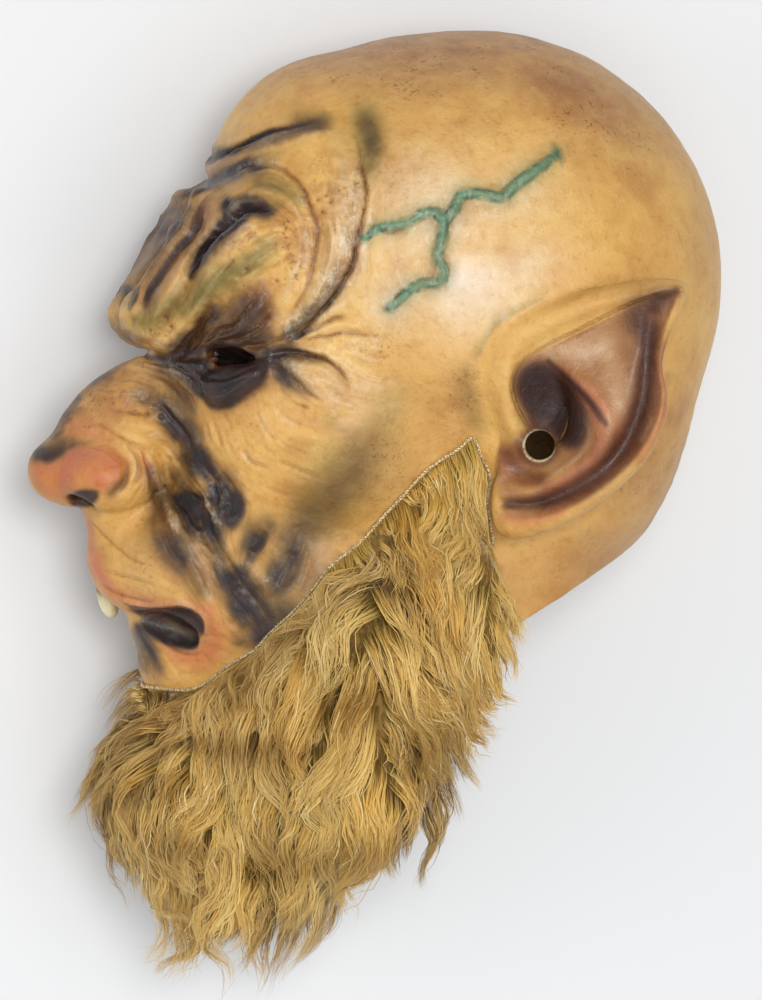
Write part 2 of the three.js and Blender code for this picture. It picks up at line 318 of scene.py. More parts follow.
# ------------------------------------------------------------------ ears
EAR_OUT = [(487, 345), (506, 322), (540, 305), (585, 289), (632, 279), (668, 276), (691, 284), (686, 304), (672, 335), (664, 365),
           (669, 395), (666, 425), (650, 458), (622, 487), (590, 511), (555, 530), (520, 541), (498, 535), (488, 516), (489, 490),
           (496, 462), (501, 435), (488, 405), (483, 375)]
EAR_SD = sdist(EAR_OUT, 60)
EAR_RELIEF = zeros()
for pts, w, h, pw in (
        ([(524, 436), (508, 410), (500, 378), (508, 348), (535, 324), (580, 305), (632, 291), (678, 286)], [15, 16, 17, 16, 14, 11, 8], [4, 7, 7.5, 7, 6, 4, 2], 3.0),
        ([(682, 292), (671, 325), (663, 358), (666, 395), (657, 430), (634, 465), (598, 498), (552, 522), (512, 526)], [6, 7, 7, 8, 9, 10, 13, 14], [2, 3, 3.5, 4, 4, 4, 4, 3], 2.5),
        ([(570, 378), (594, 396), (606, 424), (600, 455), (578, 477), (545, 492), (508, 500)], [10, 12, 14, 15, 14, 12], [1.5, 3, 3.5, 3.5, 3, 1.5], 2.5),
        ([(652, 318), (648, 355), (643, 398), (628, 438), (602, 468), (568, 490), (534, 503), (504, 503)], [8, 9, 10, 10, 9, 8, 6], [-2.5, -3.6, -4.2, -4.2, -4, -3.8, -2.6], 2.0)):
    stroke(EAR_RELIEF, pts, w, h, pw, ends=0)
fold(EAR_RELIEF, [(531, 430), (517, 402), (514, 382), (522, 364), (548, 346), (574, 333), (600, 320), (628, 306), (656, 295), (674, 289)], [14, 15, 15, 14, 13, 12, 10, 8, 6, 5], [2.0, 3.2, 3.6, 3.4, 3.0, 2.8, 2.4, 2.0, 1.4, 0.6], -1, cut=0.5, ends=0.06, sharp=3.0)
spot(EAR_RELIEF, 545, 408, 27, 44, -12, -9.5, 3.0)
spot(EAR_RELIEF, 548, 385, 16, 22, -12, -3, 3.0)
spot(EAR_RELIEF, 520, 468, 22, 16, 0, -5, 3.0)
spot(EAR_RELIEF, 612, 345, 30, 24, -35, -4, 2.0)
EYE_SD = sdist([(214, 354), (220, 350), (229, 350), (240, 355.5), (251, 360.5), (241, 363), (227, 365), (217, 366)], 40, 1.0)


def ear(p, spread, root):
    u, v = project(p)
    sd = sample(EAR_SD, u, v) * F(MM_PX * 0.93); rel = sample(EAR_RELIEF, u, v)
    z0 = root + spread * (u - 490) * F(MM_PX)
    z = p[:, 2].astype(F)
    d = smax(z - (z0 + rel).astype(F), (z0 - 8).astype(F) - z, 5) * F(0.8)
    return smax(d, sd.astype(F), 7)


def mask_field(p):
    """the whole casting: skin less its hollow and openings"""
    base = skull(p); pit = pits(p)
    x, y, z = split(p)
    d = smax(base, -pit, 4)
    q = np.asarray(p, float).copy(); q[:, 2] = np.abs(q[:, 2])
    for m, spread in ((z > 52, 0.40), (z < -52, 0.10)):
        if m.any():
            d[m] = smin(d[m], ear(q[m], spread, 80.0), 6)
    d = smax(d, F(FLOOR) - z, 2)
    hollow = np.maximum(np.maximum(base + F(WALL), F(WALL) - pit), F(FLOOR + WALL) - z)
    d = smax(d, -hollow, 0.8)
    d = smax(d, ((NECK_Y + NECK_SLOPE * (x - NECK_X)) - y) * F(0.898), 1.2)
    # eye and hearing holes, one each side
    m = (np.abs(z) > 22) & (x < -40) & (y > 30) & (y < 90)
    if m.any():
        u, v = project(q[m])
        far = np.where(z[m] < 0, F(2.5), F(0))
        d[m] = smax(d[m], -((sample(EYE_SD, u, v) + far) * F(MM_PX)).astype(F), 1.0)
    m = (np.abs(z) > 40) & (x > 40) & (x < 95)
    if m.any():
        u, v = project(q[m])
        d[m] = smax(d[m], (F(6.1) - np.hypot(u - 540, v - 445) * F(MM_PX)).astype(F), 1.0)
    return d


def nets(f, org, h):
    """surface nets of a grid that is negative inside"""
    nx, ny, nz = f.shape
    s = f < 0
    c = np.zeros((nx - 1, ny - 1, nz - 1), np.uint8)
    for i in (0, 1):
        for j in (0, 1):
            for k in (0, 1):
                c += s[i:nx - 1 + i, j:ny - 1 + j, k:nz - 1 + k]
    act = (c > 0) & (c < 8)
    idx = np.full(act.shape, -1, np.int32); n = int(act.sum()); idx[act] = np.arange(n)
    ci, cj, ck = np.nonzero(act)
    acc = np.zeros((n, 3)); cnt = np.zeros(n)
    for a in [(i, j, k) for i in (0, 1) for j in (0, 1) for k in (0, 1)]:
        for ax in range(3):
            if a[ax]:
                continue
            b = list(a); b[ax] = 1
            fa = f[ci + a[0], cj + a[1], ck + a[2]]; fb = f[ci + b[0], cj + b[1], ck + b[2]]
            m = (fa < 0) != (fb < 0)
            t = np.where(m, fa / np.where(m, fa - fb, 1), 0)
            for e in range(3):
                acc[:, e] += np.where(m, a[e] + (t if e == ax else 0), 0)
            cnt += m
    v = acc / cnt[:, None] + np.stack([ci, cj, ck], 1)
    quads = []
    for ax in range(3):
        a = s[tuple(slice(0, -1) if e == ax else slice(1, -1) for e in range(3))]
        b = s[tuple(slice(1, None) if e == ax else slice(1, -1) for e in range(3))]
        u, w = [(1, 2), (2, 0), (0, 1)][ax]
        for sgn in (0, 1):
            I = np.argwhere((a & ~b) if sgn == 0 else (~a & b))
            if not len(I):
                continue
            for e in range(3):
                if e != ax:
                    I[:, e] += 1

            def at(du, dw):
                J = I.copy(); J[:, u] -= du; J[:, w] -= dw
                return idx[J[:, 0], J[:, 1], J[:, 2]]
            q = np.stack([at(1, 1), at(0, 1), at(0, 0), at(1, 0)], 1)
            quads.append(q if sgn == 0 else q[:, ::-1])
    return v * h + np.array(org), np.concatenate(quads)


def meshed(field, lo, hi, h, band=4):
    """the surface of a field, looked for only near where a coarse grid finds it"""
    lo = np.array(lo, float); n = (np.ceil((np.array(hi) - lo) / (h * band)).astype(int)) * band + 1
    H = h * band
    cn = (n - 1) // band + 1
    ax = [lo[i] + H * np.arange(cn[i]) for i in range(3)]
    g = np.stack(np.meshgrid(*ax, indexing="ij"), -1).reshape(-1, 3)
    cf = np.concatenate([field(g[i:i + 400000]) for i in range(0, len(g), 400000)]).reshape(cn)
    c8 = [cf[i:cn[0] - 1 + i, j:cn[1] - 1 + j, k:cn[2] - 1 + k] for i in (0, 1) for j in (0, 1) for k in (0, 1)]
    cell = (np.min(np.abs(c8), 0) < H * 1.3 + 2.5)
    f = np.repeat(np.repeat(np.repeat(cf[:-1, :-1, :-1], band, 0), band, 1), band, 2)
    f = np.pad(f, ((0, 1), (0, 1), (0, 1)), mode="edge").astype(F)
    need = np.repeat(np.repeat(np.repeat(cell, band, 0), band, 1), band, 2)
    full = np.zeros(f.shape, bool)
    for i in (0, 1):
        for j in (0, 1):
            for k in (0, 1):
                full[i:need.shape[0] + i, j:need.shape[1] + j, k:need.shape[2] + k] |= need
    I = np.argwhere(full)
    out = np.empty(len(I), F)
    for i in range(0, len(I), 400000):
        out[i:i + 400000] = field(lo + I[i:i + 400000] * h)
    f[I[:, 0], I[:, 1], I[:, 2]] = out
    return nets(f, lo, h)


def gradient(field, p, e=0.6):
    g = np.stack([field(p + d) - field(p - d) for d in np.eye(3) * e], 1)
    return g / (np.linalg.norm(g, axis=1, keepdims=True) + 1e-9)


# ------------------------------------------------------------------ brushwork: relief (mm) and paint, drawn over the side view
REL = zeros()        # raised and sunken lines
DARK = zeros()       # blackish brushed paint
OLIVE = zeros()      # olive airbrush
PURPLE = zeros()     # purple-brown of the lids
PINK = zeros()       # flesh pink
PALE = zeros()       # dry-brushed pale ridges
VEIN = zeros()       # green veins
BROWN = zeros()      # brown stipple
GLOSS = zeros()      # where the paint is wet-looking

# -- brow: creases and overlapping folds
CREASES = [  # points, half width px, depth mm
    ([(207, 163), (222, 155), (240, 147), (268, 134), (290, 128), (318, 122)], [3.5, 4.5, 4, 3.5, 4, 5], [-2.2, -2.4, -2.0, -1.4, -0.8, -0.3]),
    ([(193, 194), (205, 185), (219, 177), (235, 169), (250, 165), (264, 166)], [4, 6, 7, 7, 6, 5], [-1.4, -2.0, -2.0, -1.7, -1.1, -0.5]),
    ([(193, 209), (211, 195), (229, 183), (246, 175), (262, 167), (274, 165), (288, 173), (300, 185), (308, 201), (314, 217), (317, 237), (315, 256), (311, 276), (305, 292), (293, 311), (278, 327)], [2.5, 3, 3, 3, 2.6, 2.6, 2.6, 2.6, 2.6, 2.6, 2.6, 2.6, 2.4], [-1.0, -1.4, -1.4, -1.2, -1.1, -1.1, -1.2, -1.3, -1.3, -1.2, -1.1, -1.0, -0.6]),
    ([(272, 213), (259, 206), (247, 209), (236, 217), (226, 227), (213, 238), (203, 252), (195, 266), (190, 277)], [6, 8, 8, 8, 8, 8, 7, 5.5, 4], [-1.6, -3.2, -3.4, -3.6, -3.8, -3.6, -3.2, -2.4, -1.2]),
    ([(228, 199), (223, 214), (215, 230)], [2.5, 3.5, 3], [-1.4, -1.8, -1.2]),
    ([(208, 198), (199, 209), (195, 223), (189, 237), (179, 248), (167, 262), (157, 276), (150, 288), (146, 308)], [4, 5, 6, 6, 6.5, 6.5, 6, 5, 3.5], [-0.9, -1.6, -2.0, -2.3, -2.5, -2.5, -2.3, -1.9, -0.8]),
    ([(190, 196), (183, 213), (169, 233), (155, 249), (141, 267), (131, 283), (124, 297)], [4, 5, 5.5, 6, 6, 5.5, 4.5], [-0.9, -1.5, -1.9, -2.1, -2.1, -1.8, -1.0]),
    ([(138, 288), (135, 298), (129, 307)], [4, 5, 4], [-0.5, -0.7, -0.3]),
    ([(222, 273), (230, 264), (237, 252)], [2.0, 2.6, 2.0], [-0.9, -1.3, -0.7]),
    ([(239, 279), (249, 270), (260, 263)], [2.2, 3.0, 2.2], [-0.9, -1.5, -0.7]),
    ([(244, 245), (251, 237), (259, 233)], [2.2, 2.8, 2.2], [-0.9, -1.3, -0.6]),
    ([(353, 129), (359, 149), (361, 169), (365, 189), (365, 206), (360, 229), (355, 249), (347, 272), (333, 296), (315, 318), (298, 335), (288, 343)], [3, 3, 3, 3, 3, 3.2, 3.6, 4, 4.2, 4.2, 4, 3], [-0.3, -0.5, -0.6, -0.7, -0.7, -0.8, -1.0, -1.3, -1.6, -1.8, -1.7, -0.9]),
    ([(343, 150), (350, 180), (352, 210), (345, 240), (336, 262)], 2.0, -0.45),
    ([(330, 215), (338, 245), (330, 275), (318, 298)], 2.2, -0.5),
    ([(298, 335), (317, 326), (333, 318), (346, 315)], 2.4, [-1.2, -1.4, -1.2, -0.6]),
    ([(300, 341), (318, 335), (337, 333), (358, 334), (377, 337)], 2.2, [-1.0, -1.3, -1.3, -1.1, -0.5]),
    ([(270, 355), (290, 354), (313, 355), (328, 361), (341, 372), (351, 384)], [2.6, 3, 3, 2.8, 2.6, 2.2], [-1.6, -1.9, -1.7, -1.5, -1.1, -0.5]),
    ([(288, 372), (300, 384), (314, 396), (326, 402)], 2.8, [-0.9, -1.3, -1.2, -0.6]),
    ([(277, 385), (292, 400), (310, 409)], 2.6, -0.7),
    # brow's lower edge and upper lid
    ([(131, 346), (146, 355), (165, 359), (176, 355), (188, 341), (199, 325), (211, 309), (219, 299)], [3, 4, 4.5, 4.5, 4.5, 4.5, 4, 3], [-2.2, -2.8, -3.0, -3.0, -2.8, -2.2, -1.6, -0.6]),
    ([(204, 342), (219, 330), (237, 321), (250, 308), (258, 296)], [3, 3.5, 3.5, 3.2, 2.5], [-0.9, -1.7, -1.8, -1.3, -0.5]),
    ([(226, 340), (245, 336), (262, 326), (272, 312)], [2.6, 3, 3, 2.4], [-0.8, -1.4, -1.3, -0.5]),
    ([(240, 346), (256, 347), (272, 341), (286, 336)], 2.6, [-0.9, -1.4, -1.4, -0.8]),
    # below the eye
    ([(139, 357), (158, 363), (178, 368), (197, 379), (209, 394)], [2.4, 2.8, 3, 3.2, 2.6], [-1.1, -1.5, -1.7, -1.7, -0.9]),
    ([(136, 365), (151, 370), (165, 375), (179, 386), (189, 398), (195, 413)], [2.2, 2.4, 2.6, 2.8, 2.8, 2.2], [-0.7, -1.0, -1.2, -1.3, -1.2, -0.5]),
    ([(110, 366), (133, 370), (152, 375), (171, 384), (185, 400), (192, 415)], [2.2, 2.6, 2.8, 2.8, 2.8, 2.2], [-0.5, -0.9, -1.1, -1.2, -1.2, -0.6]),
    ([(198, 369), (214, 379), (232, 379), (252, 372), (266, 366)], [2.4, 2.8, 2.8, 2.6, 2.2], [-0.6, -1.0, -1.1, -0.9, -0.4]),
    ([(205, 384), (222, 392), (242, 386), (258, 377)], 2.4, [-0.4, -0.8, -0.8, -0.4]),
    # nose
    ([(107, 408), (126, 412), (152, 416)], 2.4, [-0.5, -1.0, -0.8]), ([(84, 424), (100, 424), (114, 434), (131, 443), (152, 452)], 2.6, [-0.4, -0.8, -1.1, -1.2, -0.9]),
    ([(96, 388), (112, 391), (127, 389)], 2.0, -0.5), ([(76, 398), (92, 400), (108, 398)], 2.0, -0.4), ([(66, 418), (78, 412), (92, 412)], 2.0, -0.4),
    ([(60, 436), (72, 430), (86, 432)], 1.8, -0.4), ([(98, 376), (118, 379), (140, 382), (158, 391)], 2.0, -0.6),
    ([(37, 461), (50, 459), (58, 453), (67, 446), (80, 441.5), (92, 440.5), (106, 443), (117, 450), (125, 462), (127, 477), (121, 489), (112, 495), (101, 494)],
     [4, 5, 6, 6.5, 6.5, 6.5, 6.5, 6.5, 6, 5, 4.5, 4, 3], [-0.5, -0.9, -1.0, -0.8, -0.7, -0.6, -0.7, -1.1, -1.7, -2.0, -1.8, -1.3, -0.7]),
    ([(126, 443), (138, 457), (140, 475), (132, 487)], 2.8, [-0.8, -1.4, -1.3, -0.5]),
    ([(142, 448), (149, 467), (157, 495), (164, 519), (171, 540)], [2.6, 3.2, 3.6, 3.6, 3], [-0.8, -1.5, -1.9, -1.7, -0.9]),
    # cheek folds running down to the jaw
    ([(150, 402), (163, 409), (175, 423), (186, 439), (192, 452)], [5, 7, 8, 8, 6], [-0.7, -1.0, -1.1, -1.0, -0.5]),
    ([(160, 462), (168, 476), (178, 486)], [6, 9, 6], [-0.3, -0.6, -0.3]), ([(180, 496), (192, 506), (200, 520), (203, 532)], [9, 12, 12, 8], [-0.5, -1.1, -1.1, -0.5]),
    ([(204, 530), (211, 541), (215, 552)], [8, 10, 7], [-0.4, -0.8, -0.4]),
    ([(200, 460), (209, 476), (215, 490), (219, 506)], [6, 8, 8, 6], [-0.7, -1.1, -1.2, -0.5]),
    ([(218, 476), (230, 490), (233, 505), (228, 519)], [8, 11, 11, 8], [-0.5, -1.1, -1.2, -0.5]),
    ([(176, 506), (184, 522), (196, 540)], 3.0, [-0.5, -0.9, -0.4]), ([(198, 548), (212, 566), (218, 584)], 3.0, [-0.4, -0.8, -0.4]),
    ([(158, 528), (167, 550), (185, 570), (196, 592), (209, 608), (211, 622)], [8, 11, 12, 12, 9, 6], [-0.6, -1.0, -1.1, -1.1, -0.8, -0.4]),
    ([(218, 556), (228, 574), (240, 590)], [13, 16, 13], [-0.5, -0.8, -0.5]), ([(238, 588), (254, 606), (266, 630)], [13, 18, 13], [-0.5, -0.9, -0.6]),
    ([(265, 530), (257, 540), (249, 550)], [7, 9, 7], [-0.6, -1.1, -0.7]), ([(294, 552), (287, 569), (279, 586)], [8, 11, 9], [-0.4, -0.8, -0.5]),
    ([(205, 423), (208, 433), (212, 446)], 1.8, -0.6), ([(213, 421), (218, 435), (222, 449)], 1.8, -0.6), ([(223, 412), (228, 421), (232, 431)], 1.8, -0.55),
    ([(256, 409), (265, 428), (277, 442)], 2.0, -0.75), ([(277, 408), (291, 419), (304, 425)], 2.0, -0.65), ([(242, 448), (251, 461), (270, 470)], 2.0, -0.75),
    ([(277, 462), (298, 469), (321, 479)], 2.0, -0.75), ([(287, 437), (301, 443), (318, 446)], 1.9, -0.5), ([(314, 424), (332, 431), (350, 432)], 1.9, -0.45),
    ([(330, 405), (347, 411), (362, 410)], 1.9, -0.45), ([(345, 452), (332, 466), (318, 484)], 3.5, -0.6), ([(366, 396), (384, 402), (404, 400)], 1.9, -0.35),
    ([(262, 486), (281, 494), (302, 497)], 1.9, -0.4), ([(352, 348), (372, 356), (392, 357)], 2.0, -0.5), ([(362, 372), (380, 378), (402, 377)], 2.0, -0.4),
    # muzzle and lips
    ([(88, 516), (102, 533), (119, 549), (133, 560), (153, 567)], 1.7, [-0.5, -0.8, -0.9, -0.8, -0.4]),
    ([(98, 566), (114, 574), (133, 579), (158, 586)], 1.7, [-0.4, -0.7, -0.8, -0.4]), ([(99, 581), (114, 592), (133, 598), (160, 603)], 1.8, [-0.5, -0.9, -0.9, -0.4]),
    ([(160, 634), (171, 646), (190, 654), (206, 652)], 2.2, [-0.6, -1.1, -1.1, -0.4]), ([(137, 626), (147, 645), (160, 670)], 2.4, [-0.5, -0.9, -0.4]),
    ([(143, 652), (150, 668), (156, 682)], 2.0, -0.5), ([(222, 636), (236, 646), (247, 640)], 2.2, -0.4),
]
for pts, w, h in CREASES:
    stroke(REL, pts, w, h)
# lips of the folds: the raised side of each large crease
for pts, w, h, side in (
        ([(207, 163), (222, 155), (240, 147), (268, 134), (290, 128), (318, 122)], 12, 1.3, 1),
        ([(353, 129), (359, 149), (361, 169), (365, 189), (365, 206), (360, 229), (355, 249), (347, 272), (333, 296), (315, 318), (298, 335)], 18, [0.7, 1.0, 1.3, 1.7, 2.0, 2.1, 1.8], 1),
        ([(272, 213), (259, 206), (247, 209), (236, 217), (226, 227), (213, 238), (203, 252), (195, 266)], 12, [0.6, 1.6, 2.2, 2.4, 2.4, 1.6], -1),
        ([(204, 342), (219, 330), (237, 321), (250, 308), (258, 296)], 6, 1.2, -1),
        ([(226, 340), (245, 336), (262, 326), (272, 312)], 5, 1.0, -1),
        ([(199, 457), (209, 476), (216, 492), (219, 510)], 7, 0.7, -1),
        ([(150, 402), (163, 409), (175, 423), (186, 439), (192, 452)], 12, 0.8, 1),
        ([(121, 601), (134, 606), (152, 608), (178, 606), (194, 611), (203, 622), (203, 636)], 9, 2.2, -1)):
    fold(REL, pts, w, h, side, cut=0.35)
# pillows of flesh between the creases
for pts, h, reach in (
        ([(272, 215), (258, 209), (244, 213), (232, 223), (218, 239), (204, 257), (194, 275), (180, 300), (160, 328), (150, 344), (165, 356), (185, 350), (205, 328), (240, 300), (262, 280), (285, 250), (292, 225)], 4.2, 26),
        ([(262, 200), (246, 196), (228, 203), (212, 216), (198, 240), (184, 262), (170, 285), (157, 305), (152, 322), (165, 312), (180, 292), (194, 268), (204, 250), (216, 236), (230, 221), (246, 208)], 3.2, 9),
        ([(205, 192), (192, 205), (180, 225), (166, 245), (150, 268), (138, 290), (130, 312), (140, 318), (148, 300), (156, 278), (170, 258), (184, 238), (194, 216), (204, 204)], 3.0, 8),
        ([(186, 196), (172, 214), (154, 236), (138, 258), (124, 284), (117, 310), (118, 330), (132, 330), (134, 306), (144, 270), (158, 246), (174, 222), (186, 206)], 2.4, 8),
        ([(208, 168), (222, 160), (240, 152), (266, 141), (292, 134), (318, 128), (332, 134), (300, 146), (276, 155), (262, 157), (246, 157), (230, 161), (216, 168), (206, 176)], 2.2, 9),
        ([(196, 196), (210, 186), (228, 176), (248, 168), (268, 166), (284, 170), (274, 170), (262, 173), (246, 181), (230, 189), (212, 199), (196, 210)], 2.0, 7),
        ([(288, 137), (330, 128), (348, 140), (354, 170), (360, 200), (356, 232), (346, 262), (330, 290), (308, 314), (292, 330), (298, 308), (310, 284), (318, 256), (320, 232), (315, 208), (303, 186), (288, 168), (274, 160), (280, 148)], 3.0, 20),
        ([(204, 343), (219, 329), (238, 318), (250, 304), (259, 292), (268, 300), (266, 318), (258, 330), (240, 338), (222, 342)], 2.0, 8),
        ([(274, 358), (292, 357), (313, 358), (330, 365), (344, 378), (350, 392), (334, 396), (314, 390), (296, 378), (282, 368)], 3.0, 12),
        ([(178, 364), (200, 368), (216, 375), (238, 374), (262, 367), (268, 378), (250, 394), (228, 408), (210, 406), (190, 384)], 2.2, 12),
        ([(150, 452), (160, 464), (172, 484), (186, 507), (202, 530), (212, 552), (204, 558), (190, 538), (174, 512), (160, 486), (150, 466)], 2.2, 8),
        ([(192, 452), (204, 464), (213, 488), (220, 512), (224, 536), (214, 528), (203, 505), (192, 480)], 2.2, 6),
        ([(226, 480), (240, 496), (242, 512), (232, 528), (225, 520), (232, 502)], 1.4, 6),
        ([(162, 510), (176, 546), (193, 580), (210, 612), (222, 628), (214, 600), (200, 562), (184, 524), (172, 504)], 2.0, 8),
        ([(206, 374), (222, 367), (246, 364), (266, 358), (269, 378), (256, 392), (236, 402), (218, 408), (205, 394)], 3.0, 9)):
    low = min(q[1] for q in pts) > 440
    dome(REL, pts, h * (0.40 if low else 0.72), reach * (1.4 if low else 1.0), 3.0 if low else 1.8)
area(REL, [(132, 611), (152, 613), (178, 611), (192, 616), (200, 628), (198, 636), (186, 633), (168, 626), (150, 619), (138, 615)], 5, -1.8, mode="add")
RIDGES = [
    ([(205, 196), (193, 214), (181, 235), (167, 256), (153, 276), (140, 294)], 5.5, [0.6, 1.0, 1.3, 1.4, 1.3, 0.6]),
    ([(222, 193), (214, 213), (205, 231), (192, 252), (179, 272), (165, 296), (154, 318)], [5, 7, 8, 9, 9, 10, 9], [0.6, 1.4, 1.8, 1.9, 1.9, 1.6, 0.8]),
    ([(264, 220), (248, 230), (232, 246), (217, 266), (200, 288), (181, 312)], [7, 9, 11, 12, 12, 10], [0.8, 1.5, 1.8, 1.8, 1.6, 0.8]),
    ([(283, 186), (294, 206), (299, 232), (297, 262), (286, 290)], 9, [0.6, 1.0, 1.2, 1.2, 0.8]),
    ([(334, 160), (341, 205), (338, 245), (324, 280), (303, 308)], 12, [0.5, 1.0, 1.3, 1.3, 0.9]),
    ([(176, 178), (196, 172), (222, 165), (248, 154)], 6, 1.1), ([(178, 204), (198, 200), (212, 188), (232, 175)], 4.5, 0.9), ([(196, 152), (222, 143), (250, 134)], 5, 0.8),
    ([(200, 346), (222, 335), (244, 322), (260, 303)], 4.5, [0.8, 1.5, 1.5, 0.8]), ([(238, 340), (256, 334), (270, 322)], 4, 1.2), ([(262, 345), (280, 342), (297, 337)], 4, 1.0),
    ([(146, 352), (168, 364), (188, 374), (204, 388)], 3.2, 1.0), ([(124, 366), (150, 372), (172, 381), (190, 396)], 3.5, 0.9), ([(176, 362), (190, 363), (204, 366)], 4, 1.2),
    ([(152, 472), (160, 502), (170, 530)], 4.5, 1.0), ([(194, 462), (204, 484), (210, 502)], 5.0, [0.4, 0.9, 0.5]), ([(205, 500), (212, 514), (220, 528)], 3.4, 0.7), ([(222, 480), (224, 496), (221, 510)], 2.6, 0.6),
    ([(182, 560), (200, 586), (212, 610)], 6, 0.8), ([(236, 470), (246, 488), (249, 505)], 5, 0.8), ([(246, 570), (258, 588)], 11, 0.35),
    ([(160, 395), (176, 412), (192, 432), (200, 450)], 5, 1.2), ([(308, 322), (326, 312), (346, 306)], 5, 0.8), ([(318, 328), (340, 325), (360, 327)], 3.5, 0.8), ([(300, 348), (322, 350), (344, 362)], 5, 0.9),
]
for pts, w, h in RIDGES:
    stroke(REL, pts, w, h)
for cx, cy, rx, ry, rot, h in (
        (307, 383, 30, 10, 40, 2.0), (92, 470, 36, 22, -4, 1.2), (136, 404, 18, 7, 25, 0.9), (200, 590, 10, 40, -30, 0.7), (300, 250, 18, 50, 8, 1.0),
        (230, 250, 14, 40, 38, 1.2), (172, 290, 12, 34, 42, 1.5), (150, 335, 16, 12, 20, 1.0), (340, 200, 12, 60, 4, 0.8), (214, 361, 5, 4, 0, 1.4),
        (246, 378, 28, 8, -14, 1.2), (260, 145, 30, 6, -22, 0.8), (175, 515, 7, 26, -34, 0.8), (222, 536, 9, 18, -30, 0.6)):
    spot(REL, cx, cy, rx, ry, rot, h)
# small pits
for i, (cx, cy) in enumerate(((143, 401), (152, 410), (161, 417), (147, 413), (137, 396), (170, 458), (186, 458), (302, 197), (318, 200), (322, 212), (331, 203), (233, 242),
                              (238, 250), (247, 268), (327, 196), (286, 230), (293, 262), (278, 281), (165, 318), (150, 330), (172, 327))):
    spot(REL, cx, cy, 2.2, 1.8, 0, -0.9); spot(BROWN, cx, cy, 3.0, 2.6, 0, 0.9, mode="max")
# veins
VEINS = [([(557, 154), (543, 165), (527, 176), (511, 189), (503, 197), (489, 196), (473, 193), (461, 196), (454, 209), (444, 222), (442, 240), (438, 256), (444, 273), (438, 282), (422, 284), (409, 291), (398, 301), (389, 309)],
          [3.2, 4, 4.4, 4.4, 4.2, 4.2, 4.2, 4.2, 4.4, 4.8, 4.2, 4, 4, 4, 4, 4, 3.8, 3.4], [0.9, 1.4, 1.6, 1.6, 1.6, 1.5, 1.5, 1.5, 1.7, 1.9, 1.6, 1.5, 1.5, 1.5, 1.4, 1.3, 1.2, 0.9]),
         ([(444, 222), (436, 213), (422, 214), (409, 222), (393, 226), (377, 229), (365, 238)], [4.4, 4, 3.8, 3.8, 3.8, 3.6, 3.2], [1.5, 1.4, 1.3, 1.2, 1.1, 1.0, 0.7])]
for pts, w, h in VEINS:
    stroke(REL, pts, w, h, ends=0.05)
    stroke(VEIN, pts, [x * 1.35 for x in w], 1.0, 3.0, ends=0.03, mode="max")
    stroke(VEIN, pts, [x * 2.8 for x in w], 0.34, 2.0, ends=0.03, mode="max")
    stroke(BROWN, pts, [x * 2.0 for x in w], 0.3, 2.0, ends=0.03, mode="max")
stroke(REL, [(376, 228), (390, 232), (408, 231)], 2.2, -1.2); stroke(REL, [(393, 299), (401, 292), (412, 292)], 2.0, -0.9)

